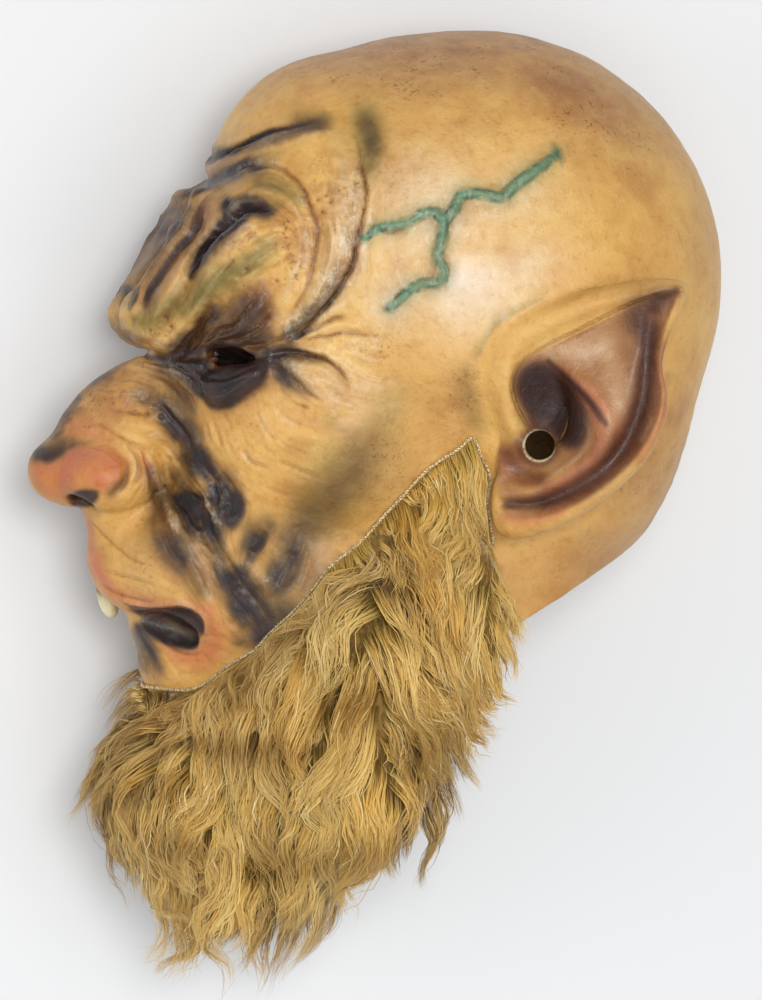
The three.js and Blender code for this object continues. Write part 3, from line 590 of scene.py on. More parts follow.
# -- dark brushed paint
for pts, w, h in (
        ([(205, 165), (222, 156), (240, 148), (268, 135), (290, 129), (318, 123)], [6, 7, 5.5, 5, 6, 9], [0.8, 0.95, 0.9, 0.75, 0.7, 0.5]),
        ([(192, 197), (205, 187), (219, 178), (235, 171), (250, 168), (263, 169)], [4, 6, 8, 8, 8, 7], [0.7, 0.9, 0.95, 0.9, 0.75, 0.4]),
        ([(272, 213), (259, 206), (247, 209), (236, 217), (226, 227), (213, 238), (203, 252), (195, 266), (190, 277)], [7, 9, 8, 8.5, 9, 9, 8, 6, 4], [0.7, 1, 1, 1, 1, 1, 1, 0.8, 0.5]),
        ([(228, 199), (223, 214), (215, 230)], 4, 0.9),
        ([(208, 198), (199, 209), (195, 223), (189, 237), (179, 248), (167, 262), (157, 276), (150, 288), (146, 308)], [3, 4, 6, 6, 7, 7, 6.5, 6, 4], [0.5, 0.7, 0.85, 0.95, 1, 1, 1, 0.95, 0.6]),
        ([(190, 196), (183, 213), (169, 233), (155, 249), (141, 267), (131, 283), (124, 297)], [5, 6, 6, 6.5, 6, 5, 4], [0.55, 0.65, 0.7, 0.75, 0.7, 0.5, 0.25]),
        ([(138, 288), (135, 298), (129, 307)], 4, 0.8), 
        ([(131, 347), (146, 356), (165, 360), (176, 357), (190, 344)], [3, 4, 5, 6, 5], [0.6, 0.7, 0.9, 1, 0.8]),
        ([(315, 318), (298, 335), (280, 343)], [3, 5, 5], [0.5, 0.8, 0.8]), ([(355, 249), (347, 272), (333, 296), (315, 318)], [4, 5, 5, 4], 0.45),
        ([(268, 353), (290, 353), (313, 355), (330, 364)], [6, 5, 3, 2.5], [1, 0.8, 0.6, 0.4]), ([(275, 362), (281, 374), (290, 386)], [7, 7, 5], [0.75, 0.6, 0.35]),
        ([(39, 452), (48, 458), (58, 452)], [6, 6, 5], [0.9, 0.85, 0.8]), ([(56, 453), (67, 446), (80, 442), (90, 441)], [5, 5, 4, 4], [0.8, 0.55, 0.3, 0.1]),
        ([(113, 364), (102, 373), (94, 382)], 5, 0.5), ([(80, 396), (71, 403), (60, 416)], 4.5, 0.5), ([(62, 430), (56, 436)], 4.5, 0.55), ([(70, 420), (64, 426)], 3, 0.4),
        ([(158, 407), (171, 420), (183, 435), (191, 452)], [9, 13, 13, 9], [0.5, 0.75, 0.8, 0.55]),
        ([(194, 448), (204, 462), (212, 476)], [9, 12, 10], [0.5, 0.85, 0.8]),
        ([(164, 470), (172, 484)], [8, 8], [0.30, 0.35]), ([(188, 500), (198, 512), (205, 526), (211, 544)], [11, 15, 15, 10], [0.7, 1, 1, 0.75]),
        ([(162, 526), (170, 546), (184, 566)], [10, 13, 11], [0.35, 0.5, 0.4]),
        ([(222, 560), (230, 572), (238, 586)], [9, 12, 11], [0.4, 0.6, 0.4]), ([(248, 600), (257, 614), (266, 633)], [13, 17, 15], [0.5, 0.8, 1]),
        ([(276, 519), (267, 528), (259, 538), (251, 550), (246, 564)], [4, 6.5, 8, 7, 5], [0.35, 0.8, 1, 0.75, 0.35]), ([(296, 548), (289, 564), (280, 584)], [9, 11, 10], [0.25, 0.55, 0.40]),
        ([(138, 625), (147, 644), (160, 670)], [5, 5, 5], [0.8, 0.85, 0.4]), ([(136, 655), (144, 668), (155, 684)], [6, 7, 5], [0.7, 0.8, 0.5]),
        ([(180, 392), (190, 402), (196, 413)], 5, 0.5), ([(176, 358), (196, 352), (210, 348)], [5, 5, 4], [1, 1, 0.8]),
        ([(150, 448), (158, 470), (164, 500)], [3, 4, 4], 0.4), ([(214, 352), (230, 347), (246, 354), (256, 361)], 4, 0.8)):
    stroke(DARK, pts, w, h, 2.4, ends=0.06, mode="max")
area(DARK, [(176, 360), (196, 356), (209, 358), (214, 367), (238, 364), (262, 357), (270, 362), (268, 376), (262, 385), (250, 394), (238, 403), (226, 410), (212, 409), (199, 396), (187, 382), (176, 370)], 5, 1.0)
area(DARK, [(199, 456), (215, 468), (229, 482), (238, 496), (240, 510), (233, 519), (222, 511), (213, 496), (205, 478)], 6, 1.0)
area(DARK, [(176, 490), (190, 496), (205, 512), (216, 534), (211, 548), (196, 536), (184, 516), (176, 500)], 9, 0.8)
area(DARK, [(130, 606), (152, 609), (180, 607), (195, 611), (205, 626), (203, 635), (189, 633), (170, 627), (150, 620), (138, 615)], 5, 1.0)
# the nostril: painted shade of its opening
area(DARK, [(68, 497), (80, 490), (98, 491), (98, 499), (88, 507), (73, 506)], 4, 1.0)
# blackish airbrush, soft and wide, under the brushed lines
SMOKE = zeros()
for pts, w, h in (
        ([(213, 150), (244, 147), (273, 138), (302, 128), (325, 121)], [6, 7, 7, 9, 11], [0.6, 0.6, 0.6, 0.6, 0.45]), ([(197, 194), (218, 179), (244, 168), (264, 168)], [7, 10, 11, 9], [0.6, 0.8, 0.75, 0.4]),
        ([(369, 123), (372, 146), (370, 170)], [10, 10, 8], [0.42, 0.5, 0.2]), ([(266, 213), (253, 204), (240, 209), (227, 219), (214, 234), (201, 250), (191, 273)], [9, 12, 13, 13, 13, 12, 8], [0.8, 0.95, 1, 1, 1, 0.9, 0.6]),
        ([(227, 198), (222, 221)], 7, 0.8), ([(198, 208), (182, 231), (165, 257), (152, 283), (147, 309)], [6, 7, 8, 7, 5], [0.6, 0.75, 0.8, 0.75, 0.4]),
        ([(188, 198), (169, 221), (149, 247), (133, 276), (124, 300)], [6, 7, 7, 7, 5], [0.45, 0.5, 0.5, 0.4, 0.2]), ([(120, 322), (126, 335), (140, 344)], 6, 0.5),
        ([(175, 351), (195, 335), (214, 312)], 10, 0.8), ([(340, 262), (332, 288), (312, 314), (290, 334)], [8, 10, 10, 9], [0.3, 0.5, 0.6, 0.7]),
        ([(270, 358), (296, 355), (322, 361)], [11, 9, 6], [1, 0.75, 0.4]), ([(283, 374), (296, 384), (309, 394)], [12, 11, 8], [0.75, 0.55, 0.3]), ([(159, 361), (185, 374), (198, 387)], [7, 9, 8], 0.8),
        ([(38, 454), (54, 451), (66, 443), (90, 442)], [8, 8, 7, 5], [0.8, 0.8, 0.55, 0.2]), ([(107, 373), (98, 380)], 8, 0.4), ([(72, 408), (60, 420)], 7, 0.45), ([(58, 426), (52, 436)], 7, 0.5),
        ([(140, 395), (164, 405), (179, 420)], [9, 10, 10], [0.4, 0.6, 0.7]), ([(164, 411), (179, 426), (191, 445), (201, 466)], [11, 14, 14, 11], [0.75, 0.9, 0.95, 0.85]),
        ([(204, 470), (222, 482), (232, 500), (228, 520), (214, 508)], [12, 13, 12, 11, 10], 1.0), ([(166, 474), (178, 490)], [11, 12], [0.35, 0.5]), ([(186, 500), (197, 519), (211, 538), (216, 550)], [15, 17, 16, 12], [0.9, 1, 1, 0.8]),
        ([(158, 522), (171, 546), (188, 568), (202, 588)], [14, 17, 16, 13], [0.5, 0.65, 0.6, 0.4]), ([(216, 556), (230, 572), (243, 592), (256, 616), (265, 634)], [12, 16, 19, 20, 16], [0.5, 0.75, 0.85, 0.95, 0.95]),
        ([(264, 528), (255, 540), (248, 556)], [11, 14, 11], [0.5, 0.7, 0.5]), ([(296, 546), (289, 564), (279, 588)], [14, 17, 15], [0.5, 0.8, 0.65]), ([(140, 632), (149, 654), (160, 672)], [8, 9, 7], [0.8, 0.7, 0.4]),
        ([(376, 420), (350, 470), (318, 512), (288, 548)], [16, 26, 26, 20], [0.2, 0.36, 0.42, 0.5]), ([(330, 556), (304, 586), (278, 620)], [10, 16, 18], [0.2, 0.4, 0.65]), ([(240, 640), (254, 646)], 10, 0.5),
        ([(50, 436), (74, 400), (104, 374), (128, 354)], [5, 6, 6, 5], [0.3, 0.3, 0.35, 0.4]), ([(160, 376), (178, 392), (186, 412)], [10, 12, 10], [0.5, 0.6, 0.5]), ([(150, 470), (160, 505), (176, 540)], [5, 7, 8], 0.5), ([(124, 482), (112, 494)], 6, 0.5),
        ([(350, 240), (358, 200), (362, 160)], [7, 7, 6], 0.3), ([(470, 350), (466, 380), (480, 420)], [9, 12, 9], [0.08, 0.14, 0.1])):
    stroke(SMOKE, pts, [x * 1.12 for x in w] if isinstance(w, list) else w * 1.12, [min(x * 1.1, 1) for x in h] if isinstance(h, list) else h, 2.2, mode="max")
area(SMOKE, [(178, 486), (194, 494), (212, 514), (222, 540), (214, 552), (196, 540), (182, 516)], 14, 0.9)
area(SMOKE, [(148, 398), (172, 406), (200, 440), (234, 478), (243, 510), (226, 546), (248, 574), (272, 612), (272, 638), (248, 640), (222, 600), (196, 566), (170, 524), (156, 484), (176, 468), (184, 452), (162, 424)], 13, 0.42)
area(SMOKE, [(216, 560), (234, 566), (252, 590), (270, 624), (262, 642), (246, 626), (226, 594)], 14, 0.8)
area(SMOKE, [(198, 342), (208, 325), (221, 309), (240, 296), (260, 294), (272, 308), (270, 330), (280, 344), (272, 362), (266, 384), (240, 402), (222, 408), (204, 396), (186, 376), (182, 358)], 14, 0.66)
# ochre crests left bare between the furrows
BARE = zeros()
for pts, w, h in (
        ([(201, 203), (187, 226), (173, 248), (158, 270), (144, 293)], [4, 5, 5.5, 5.5, 4], [0.4, 0.7, 0.8, 0.8, 0.5]), ([(219, 200), (209, 222), (197, 244), (183, 267), (168, 291), (156, 314)], [4, 6, 7, 7, 7, 6], [0.4, 0.7, 0.8, 0.8, 0.7, 0.4]),
        ([(180, 210), (162, 234), (146, 258), (131, 284), (121, 308)], [3, 4, 4.5, 4.5, 4], [0.4, 0.65, 0.7, 0.7, 0.5]), ([(205, 174), (222, 165), (240, 157), (256, 152)], [5, 5.5, 5, 4], [0.5, 0.7, 0.6, 0.3]), ([(196, 208), (210, 196), (230, 186), (250, 178)], [4, 5, 5, 4], [0.5, 0.65, 0.6, 0.3])):
    stroke(BARE, pts, w, h, 2.2, mode="max")
# olive airbrush
for pts, w, h in (
        ([(365, 118), (369, 140), (368, 165)], [14, 15, 11], [0.85, 0.9, 0.6]), ([(258, 180), (276, 184), (296, 198)], [9, 10, 9], [0.6, 0.75, 0.5]),
        ([(142, 322), (165, 310), (189, 298), (211, 286), (234, 273), (254, 260), (268, 244)], [13, 17, 18, 17, 15, 13, 10], [0.75, 0.9, 0.9, 0.85, 0.85, 0.8, 0.55]),
        ([(180, 210), (162, 232), (146, 256), (136, 276), (128, 296)], 9, 0.55), ([(205, 186), (220, 180), (238, 173)], 5, 0.6), ([(250, 200), (264, 198), (276, 204)], 7, 0.45),
        ([(372, 430), (352, 466), (330, 500), (302, 528)], [22, 32, 34, 24], [0.3, 0.55, 0.6, 0.5]), ([(392, 400), (384, 440), (360, 490)], 22, 0.3), ([(300, 545), (284, 570), (272, 600)], 16, 0.6),
        ([(254, 530), (268, 524)], 12, 0.5), ([(466, 372), (468, 400), (478, 428)], [8, 11, 9], [0.35, 0.42, 0.4]), ([(480, 352), (500, 322), (540, 300)], [5, 6, 4], [0.35, 0.4, 0.25]),
        ([(300, 120), (318, 121)], 10, 0.45), ([(250, 156), (268, 160)], 10, 0.5), ([(144, 330), (156, 346)], 10, 0.35), ([(330, 420), (352, 436)], 10, 0.25)):
    stroke(OLIVE, pts, w, h, 2.0, ends=0.05, mode="max")
# lids, sockets and folds in purple-brown
area(PURPLE, [(176, 357), (187, 345), (199, 334), (218, 322), (236, 306), (250, 292), (262, 292), (271, 303), (270, 322), (266, 341), (280, 350), (268, 358), (246, 352), (228, 345), (212, 348), (196, 356)], 9, 0.9)
for pts, w, h in (
        ([(208, 197), (196, 222), (180, 247), (160, 271), (147, 300)], [8, 9, 10, 10, 8], [0.6, 0.7, 0.75, 0.75, 0.6]), ([(190, 208), (171, 233), (150, 262)], [5, 6, 6], 0.5),
        ([(152, 492), (163, 528), (180, 562)], [7, 9, 9], 0.5), ([(196, 560), (212, 590)], 10, 0.35), ([(360, 230), (352, 260), (336, 290)], [6, 9, 8], 0.4),
        ([(148, 470), (156, 492), (162, 512)], [6, 7, 6], 0.6), ([(210, 170), (224, 160)], 7, 0.5), ([(262, 288), (270, 310), (268, 335)], [8, 9, 8], [0.6, 0.7, 0.7])):
    stroke(PURPLE, pts, w, h, 2.0, ends=0.05, mode="max")
# flesh pink: nose, lips, mouth corner, ear
area(PINK, [(34, 458), (52, 458), (66, 448), (90, 444), (112, 450), (124, 466), (122, 484), (108, 492), (84, 492), (66, 500), (50, 500), (36, 486), (30, 472)], 8, 0.95)
for pts, w, h in (
        ([(86, 520), (90, 545), (98, 572), (112, 590), (133, 601), (158, 606), (184, 606)], [6, 7, 9, 8, 8, 7, 6], [0.5, 0.7, 0.95, 1, 1, 0.95, 0.8]),
        ([(192, 604), (208, 618), (217, 638), (206, 655), (186, 655), (166, 643), (150, 634)], [8, 10, 13, 13, 12, 10, 7], [0.8, 0.95, 0.95, 1, 1, 0.95, 0.7]),
        ([(60, 425), (80, 425), (104, 436)], [14, 14, 12], [0.5, 0.5, 0.4]), ([(100, 415), (122, 402)], 12, 0.25), ([(170, 232), (156, 254)], 6, 0.4), ([(183, 300), (192, 284)], 6, 0.35),
        ([(214, 178), (196, 196)], 4, 0.4), ([(144, 455), (152, 480)], 5, 0.5), ([(206, 372), (212, 362)], 4, 0.6), ([(226, 345), (246, 352), (256, 358)], 4, 0.6), ([(150, 345), (140, 352)], 5, 0.35)):
    stroke(PINK, pts, w, h, 2.0, ends=0.05, mode="max")
# pale dry-brushing on raised skin
for pts, w, h in (
        ([(346, 165), (352, 200), (346, 240), (330, 276), (308, 305), (286, 325)], [7, 8, 10, 11, 10, 8], [0.5, 0.7, 0.7, 0.65, 0.6, 0.5]), ([(372, 190), (372, 220), (362, 262), (340, 300), (312, 330)], [3, 4, 5, 5, 4], 0.6),
        ([(300, 195), (308, 230), (304, 270), (290, 300)], [5, 7, 8, 7], 0.45), ([(286, 362), (305, 374), (325, 388), (338, 400)], [8, 11, 11, 8], [0.3, 0.45, 0.45, 0.3]),
        ([(240, 172), (262, 162), (282, 164)], 3, 0.5), ([(330, 340), (352, 344), (372, 350)], [8, 10, 9], 0.55), ([(380, 250), (410, 262), (420, 240)], [12, 16, 14], 0.4),
        ([(206, 497), (213, 514), (220, 528)], 2.6, 0.5), ([(160, 480), (166, 506), (176, 530)], 4.0, 0.4), ([(150, 432), (166, 446), (178, 462)], [4, 5, 4], 0.4), ([(222, 486), (224, 505)], 2.5, 0.4),
        ([(125, 398), (140, 396), (156, 404)], 5, 0.45), ([(130, 352), (150, 360), (176, 372), (196, 388)], 2.5, 0.5), ([(130, 455), (138, 475)], 3, 0.4), ([(243, 562), (256, 572), (268, 582)], 5, 0.35),
        ([(262, 415), (270, 432)], 3, 0.5), ([(276, 412), (292, 424)], 3, 0.4), ([(244, 455), (258, 467)], 3, 0.4), ([(452, 235), (470, 226), (492, 214)], 8, 0.3),
        # these two: painted highlights along the upper lid's folds
        ([(218, 333), (236, 324), (252, 310)], 1.8, 0.6), ([(246, 336), (262, 326)], 1.8, 0.5)):
    stroke(PALE, pts, w, h, 2.0, ends=0.08, mode="max")
# brown stipple
for cx, cy, rx, ry, rot, h in (
        (440, 60, 150, 30, 0, 0.7), (580, 100, 90, 30, 30, 0.6), (300, 100, 60, 30, -30, 0.15), (70, 410, 16, 44, 42, 0.7), (120, 366, 40, 12, -20, 0.8), (100, 400, 50, 30, -20, 0.45), (330, 560, 40, 24, -50, 0.7), (338, 190, 26, 44, 10, 0.75), (300, 250, 26, 50, 6, 0.75), (245, 240, 26, 14, -40, 0.7), (225, 305, 30, 16, -35, 0.8), (440, 80, 60, 22, -10, 0.45), (540, 80, 70, 26, 12, 0.45),
        (395, 345, 40, 26, 0, 0.35), (455, 400, 30, 40, 0, 0.4), (370, 470, 34, 40, 20, 0.5), (150, 405, 26, 14, 20, 0.9), (400, 170, 34, 46, 0, 0.25), (600, 170, 60, 60, 0, 0.2), (150, 545, 30, 40, 0, 0.2),
        (620, 470, 60, 40, 0, 0.35), (480, 120, 40, 26, 0, 0.3), (255, 440, 40, 30, 0, 0.25), (345, 390, 26, 24, 0, 0.35), (165, 340, 26, 14, 0, 0.5)):
    spot(BROWN, cx, cy, rx, ry, rot, h, mode="max")
area(GLOSS, [(176, 345), (210, 300), (262, 290), (275, 330), (272, 372), (236, 404), (206, 404), (176, 368)], 14, 1.0)
stroke(GLOSS, [(196, 450), (222, 500), (216, 540)], 16, 0.5, mode="max")
stroke(GLOSS, [(272, 213), (236, 217), (203, 252)], 8, 0.7, mode="max"); stroke(GLOSS, [(128, 400), (160, 410)], 12, 0.7, mode="max"); stroke(GLOSS, [(310, 315), (290, 340)], 10, 0.6, mode="max")
REL *= 1.35


# -- fine wrinkles and brush marks that run the way the creases do
def directions():
    """the lie of the creases everywhere on the face, as a doubled angle"""
    a = zeros() + 0.02 * math.cos(0.9); b = zeros() + 0.02 * math.sin(0.9)
    for pts, w, h in CREASES:
        c = curve(pts, 3.0); win = window(c, 60); d, _, t = near(c, win)
        g = np.gradient(c, axis=0); ang = 2 * np.arctan2(g[:, 1], g[:, 0])[np.round(t * (len(c) - 1)).astype(int)]
        k = 1 / (1 + (d / 7) ** 3)
        x0, y0, x1, y1 = win
        a[y0:y1, x0:x1] += k * np.cos(ang); b[y0:y1, x0:x1] += k * np.sin(ang)
    a = blur(a, 5); b = blur(b, 5)
    return 0.5 * np.arctan2(b, a)


def streaks(theta, grains, half, step, win):
    """each grain of noise drawn out along the directions"""
    x0, y0, x1, y1 = win
    dx = np.cos(theta).astype(F); dy = np.sin(theta).astype(F)
    gx, gy = np.meshgrid(np.arange(x0, x1, dtype=F), np.arange(y0, y1, dtype=F))
    outs = [g[y0:y1, x0:x1].copy() for g in grains]
    for sgn in (1, -1):
        x, y = gx.copy(), gy.copy(); px = dx[y0:y1, x0:x1] * sgn; py = dy[y0:y1, x0:x1] * sgn
        for _ in range(half):
            x = x + px * step; y = y + py * step
            i = np.clip(x.astype(np.int32), 0, W2 - 1); j = np.clip(y.astype(np.int32), 0, H2 - 1)
            nx, ny = dx[j, i], dy[j, i]; s = np.where(nx * px + ny * py < 0, -1, 1).astype(F)
            px, py = nx * s, ny * s
            for o, g in zip(outs, grains):
                o += sample(g, x, y)
    res = []
    for o in outs:
        m = zeros(); m[y0:y1, x0:x1] = o / o.std(); res.append(m)
    return res


GRAIN = np.random.default_rng(7)
THETA = directions()
FINE, MID = streaks(THETA, [blur(GRAIN.standard_normal((H2, W2)), 0.75), blur(GRAIN.standard_normal((H2, W2)), 1.9)], 9, 1.6, (10, 95, 450, 700))
BROAD, = streaks(THETA, [blur(GRAIN.standard_normal((H2, W2)), 3.6)], 12, 3.0, (10, 95, 450, 700))
WRINKLED = zeros()
for cx, cy, rx, ry, rot, h in (
        (240, 220, 110, 90, 0, 1.0), (210, 330, 100, 50, 0, 1.0), (320, 350, 60, 50, 10, 1.0), (130, 400, 90, 34, -30, 0.8), (190, 490, 60, 80, -30, 1.0), (220, 590, 60, 60, -30, 0.8),
        (300, 430, 90, 60, 0, 0.5), (350, 250, 50, 100, 10, 0.7), (130, 560, 50, 50, 0, 0.35), (160, 660, 50, 40, 0, 0.5), (90, 440, 50, 24, 0, 0.4), (290, 560, 50, 50, 0, 0.6)):
    spot(WRINKLED, cx, cy, rx, ry, rot, h, mode="max")
WRINKLED = np.clip(blur(WRINKLED, 8), 0, 1)


def wobble():
    """shifts of a pixel or three that keep every drawn line from looking ruled"""
    g = np.random.default_rng(19); out = []
    calm = zeros(); spot(calm, 236, 358, 34, 16, 8, 1.0); spot(calm, 165, 620, 50, 22, 10, 0.7)
    for _ in (0, 1):
        a = blur(g.standard_normal((H2, W2)), 9); b = blur(g.standard_normal((H2, W2)), 4); c = blur(g.standard_normal((H2, W2)), 1.8)
        out.append((a / a.std() * 2.0 + b / b.std() * 1.3 + c / c.std() * 0.55) * WRINKLED * (1 - calm))
    return out


WX, WY = wobble()
GX, GY = np.meshgrid(np.arange(W2, dtype=F), np.arange(H2, dtype=F))
REL, DARK, SMOKE, OLIVE, PURPLE, PALE, BROWN, PINK, BARE = [sample(m, GX + k * WX, GY + k * WY).astype(float) for m, k in ((REL, 0.45), (DARK, 0.8), (SMOKE, 1), (OLIVE, 1), (PURPLE, 1), (PALE, 0.7), (BROWN, 1), (PINK, 1), (BARE, 0.7))]
REL += WRINKLED * (0.17 * FINE + 0.27 * MID + 0.27 * BROAD)
# how sunken each point lies: it sets the brown wash and the painted shade in the creases
CAVITY = blur(REL, 5) - REL + 0.6 * (blur(REL, 2.0) - REL)
SMOKE = blur(SMOKE, 2.5)
HALO = blur(DARK, 9)
DARK = blur(DARK, 1.8)
PATCHY = blur(GRAIN.standard_normal((H2, W2)), 6.0); PATCHY = PATCHY / PATCHY.std(); FLECK = blur(GRAIN.standard_normal((H2, W2)), 2.4); FLECK = FLECK / FLECK.std()
CHEEK = zeros()
spot(CHEEK, 222, 530, 60, 130, -35, 1.0, 3.0, mode="max")
DARK = DARK * (1 - 0.6 * CHEEK) + 0.6 * CHEEK * blur(DARK, 4.5)
DARK = np.clip(DARK * (1 + CHEEK * (0.30 * PATCHY + 0.14 * FLECK - 0.05)), 0, 1); SMOKE = np.clip(SMOKE * (1 + CHEEK * (0.22 * PATCHY - 0.04)), 0, 1)
DARK = np.clip(DARK * 0.92 + (0.10 + 1.6 * DARK * (1 - DARK)) * (0.16 * FINE + 0.16 * MID + 0.15 * BROAD) * (DARK > 0.02) * np.clip(WRINKLED * 2, 0, 1), 0, 1)
print("maps", round(time.time() - T0, 1))

# -- paint inside the ear, with painted shade in its bowl and painted highlights on its ridges
E_IN = zeros(); E_DARK_AND_SHADE = zeros(); E_ORANGE = zeros(); E_PURPLE = zeros(); E_HIGHLIGHT = zeros(); E_OCHRE = zeros()
area(E_IN, [(529, 424), (514, 392), (519, 366), (548, 348), (600, 322), (640, 305), (676, 289), (680, 296), (662, 330), (655, 358), (663, 394),
            (655, 425), (637, 456), (602, 488), (560, 512), (520, 519), (501, 508), (498, 462), (512, 444)], 3.5, 1.0)
# the bowl: dark paint, and painted shade of the deep hollow
area(E_DARK_AND_SHADE, [(516, 388), (524, 368), (545, 362), (566, 376), (582, 400), (588, 425), (580, 446), (562, 446), (548, 430), (530, 418)], 8, 1.0)
spot(E_DARK_AND_SHADE, 547, 404, 25, 36, -12, 1.0, 3.0, mode="max"); spot(E_DARK_AND_SHADE, 540, 446, 22, 20, 0, 0.8, 3.0, mode="max")
for pts, w, h in (
        ([(674, 291), (655, 300), (638, 311), (644, 330), (649, 345)], [6, 12, 16, 14, 9], [0.6, 0.65, 0.6, 0.65, 0.7]),
        ([(649, 337), (646, 370), (643, 396), (632, 430), (613, 458), (586, 482), (550, 500), (508, 504)], [8, 9, 10, 10, 9, 8, 6, 5], [0.6, 0.62, 0.62, 0.55, 0.5, 0.55, 0.75, 0.6]),
        ([(548, 362), (566, 378), (590, 402), (606, 424)], [4, 5, 4, 3], [0.8, 0.85, 0.75, 0.5]), ([(505, 452), (518, 470), (540, 478)], 9, 0.4)):
    stroke(E_DARK_AND_SHADE, pts, w, h, 2.0, ends=0.05, mode="max")
for pts, w, h in (
        ([(545, 366), (572, 382), (597, 402), (614, 420), (618, 440)], [7, 9, 9, 8, 6], [0.7, 0.9, 1, 1, 0.6]), ([(664, 345), (661, 372), (669, 395), (660, 425), (640, 456)], [5, 5, 6, 6, 6], [0.8, 0.9, 0.9, 0.7, 0.5]),
        ([(580, 392), (598, 420), (602, 446), (584, 468), (545, 488)], 8, [0.7, 0.8, 0.7, 0.8, 0.7]), ([(503, 448), (510, 465), (530, 480)], 9, 0.6), ([(504, 516), (530, 522), (560, 512)], 6, 0.6)):
    stroke(E_ORANGE, pts, w, h, 2.0, ends=0.05, mode="max")
for pts, w, h in (([(652, 330), (646, 372), (644, 400), (632, 434), (612, 460), (584, 484), (545, 500)], [13, 15, 16, 16, 15, 13, 10], 0.75), ([(572, 384), (590, 402), (600, 420)], 4, 0.7),
                  ([(660, 300), (648, 322)], 9, 0.6), ([(560, 500), (600, 486)], 5, 0.6)):
    stroke(E_PURPLE, pts, w, h, 2.0, ends=0.05, mode="max")
# painted highlights inside the ear: its upper hollow, the antihelix's inner edge, the rim and the lobe
for pts, w, h in (([(552, 354), (578, 350), (600, 350)], 11, 0.75), ([(604, 342), (614, 368), (618, 400), (612, 420)], 12, 0.75), ([(586, 420), (588, 442), (572, 462), (546, 480)], 2.6, 0.8), ([(642, 440), (652, 420)], 2.4, 0.6),
                  ([(512, 470), (500, 480)], 4, 0.4), ([(510, 512), (530, 514)], 4, 0.4)):
    stroke(E_HIGHLIGHT, pts, w, h, 2.0, ends=0.1, mode="max")
for pts, w, h in (([(512, 486), (530, 490), (550, 480), (572, 468)], 4, 0.6), ([(560, 530), (600, 506), (640, 470), (668, 420), (676, 392)], 5, 0.7), ([(500, 490), (500, 520)], 6, 0.6),
                  ([(524, 474), (545, 470), (562, 456)], 5, 0.6)):
    stroke(E_OCHRE, pts, w, h, 2.0, ends=0.1, mode="max")
# the skin beside the ear's root is shaded olive-brown; the temple carries a painted highlight in pale cream
TEMPLE_SHEEN = zeros(); TAN = zeros()
# painted highlight over the temple
for cx, cy, rx, ry, rot, h in ((430, 210, 70, 60, 10, 0.8), (470, 290, 60, 50, 0, 0.9), (400, 300, 40, 40, 0, 0.7), (520, 270, 50, 40, -20, 0.7), (345, 240, 30, 70, 10, 0.5), (330, 380, 60, 30, 10, 0.35), (505, 200, 60, 40, -20, 0.5)):
    spot(TEMPLE_SHEEN, cx, cy, rx, ry, rot, h, mode="max")
# tan paint in patches over the head; over the crown it is deepened as painted shade
for cx, cy, rx, ry, rot, h in ((440, 48, 170, 40, 0, 1.0), (570, 84, 100, 42, 30, 0.9), (300, 84, 60, 40, -35, 0.15), (600, 560, 120, 40, -20, 0.7), (640, 480, 60, 70, 0, 0.5), (150, 550, 40, 60, 0, 0.3), (450, 410, 40, 60, 0, 0.35), (706, 230, 20, 110, 10, 0.35), (90, 400, 40, 44, 30, 0.5), (400, 470, 50, 40, 0, 0.4)):
    spot(TAN, cx, cy, rx, ry, rot, h, mode="max")


# ------------------------------------------------------------------ the casting
def rgb(h):
    return np.array([int(h[i:i + 2], 16) / 255 for i in (1, 3, 5)])


def to_linear(c):
    return np.where(c <= 0.04045, c / 12.92, ((c + 0.055) / 1.055) ** 2.4)


def lin(h, a=1.0):
    return tuple(float(v) for v in to_linear(rgb(h))) + (a,)


def smooth(v, a, b):
    t = np.clip((v - a) / (b - a), 0, 1)
    return t * t * (3 - 2 * t)


def face_uv(p):
    """where a point lies in the drawn maps; the right side mirrors the left, a little out of true"""
    q = np.asarray(p, float).copy()
    far = smooth(-q[:, 2], 4, 24)
    q[:, 2] = np.abs(q[:, 2])
    u, v = project(q)
    return u + far * 4 * noise(p, 40, 5), v + far * 4 * noise(p, 40, 6)


def mesh_object(name, verts, faces, mats, scale=1.0, smoothed=True):
    me = bpy.data.meshes.new(name)
    faces = np.asarray(faces, np.int32)
    me.vertices.add(len(verts)); me.vertices.foreach_set("co", (np.asarray(verts, F) * F(scale)).ravel())
    n = faces.shape[1]
    me.loops.add(faces.size); me.loops.foreach_set("vertex_index", faces.ravel())
    me.polygons.add(len(faces)); me.polygons.foreach_set("loop_start", np.arange(0, faces.size, n, dtype=np.int32))
    me.update(calc_edges=True)
    if smoothed:
        me.shade_smooth()
    for m in mats:
        me.materials.append(m)
    o = bpy.data.objects.new(name, me)
    bpy.context.scene.collection.objects.link(o)
    return o


def paint_points(me, name, rgba):
    a = me.color_attributes.new(name, "FLOAT_COLOR", "POINT")
    a.data.foreach_set("color", np.asarray(rgba, F).ravel())


def coords(me):
    c = np.empty(len(me.vertices) * 3, F); me.vertices.foreach_get("co", c)
    return c.reshape(-1, 3).astype(float)


def applied(o, kind, **values):
    m = o.modifiers.new(kind, kind)
    for k, v in values.items():
        setattr(m, k, v)
    dg = bpy.context.evaluated_depsgraph_get()
    me = bpy.data.meshes.new_from_object(o.evaluated_get(dg))
    old = o.data; o.modifiers.clear(); o.data = me; bpy.data.meshes.remove(old)
    return o


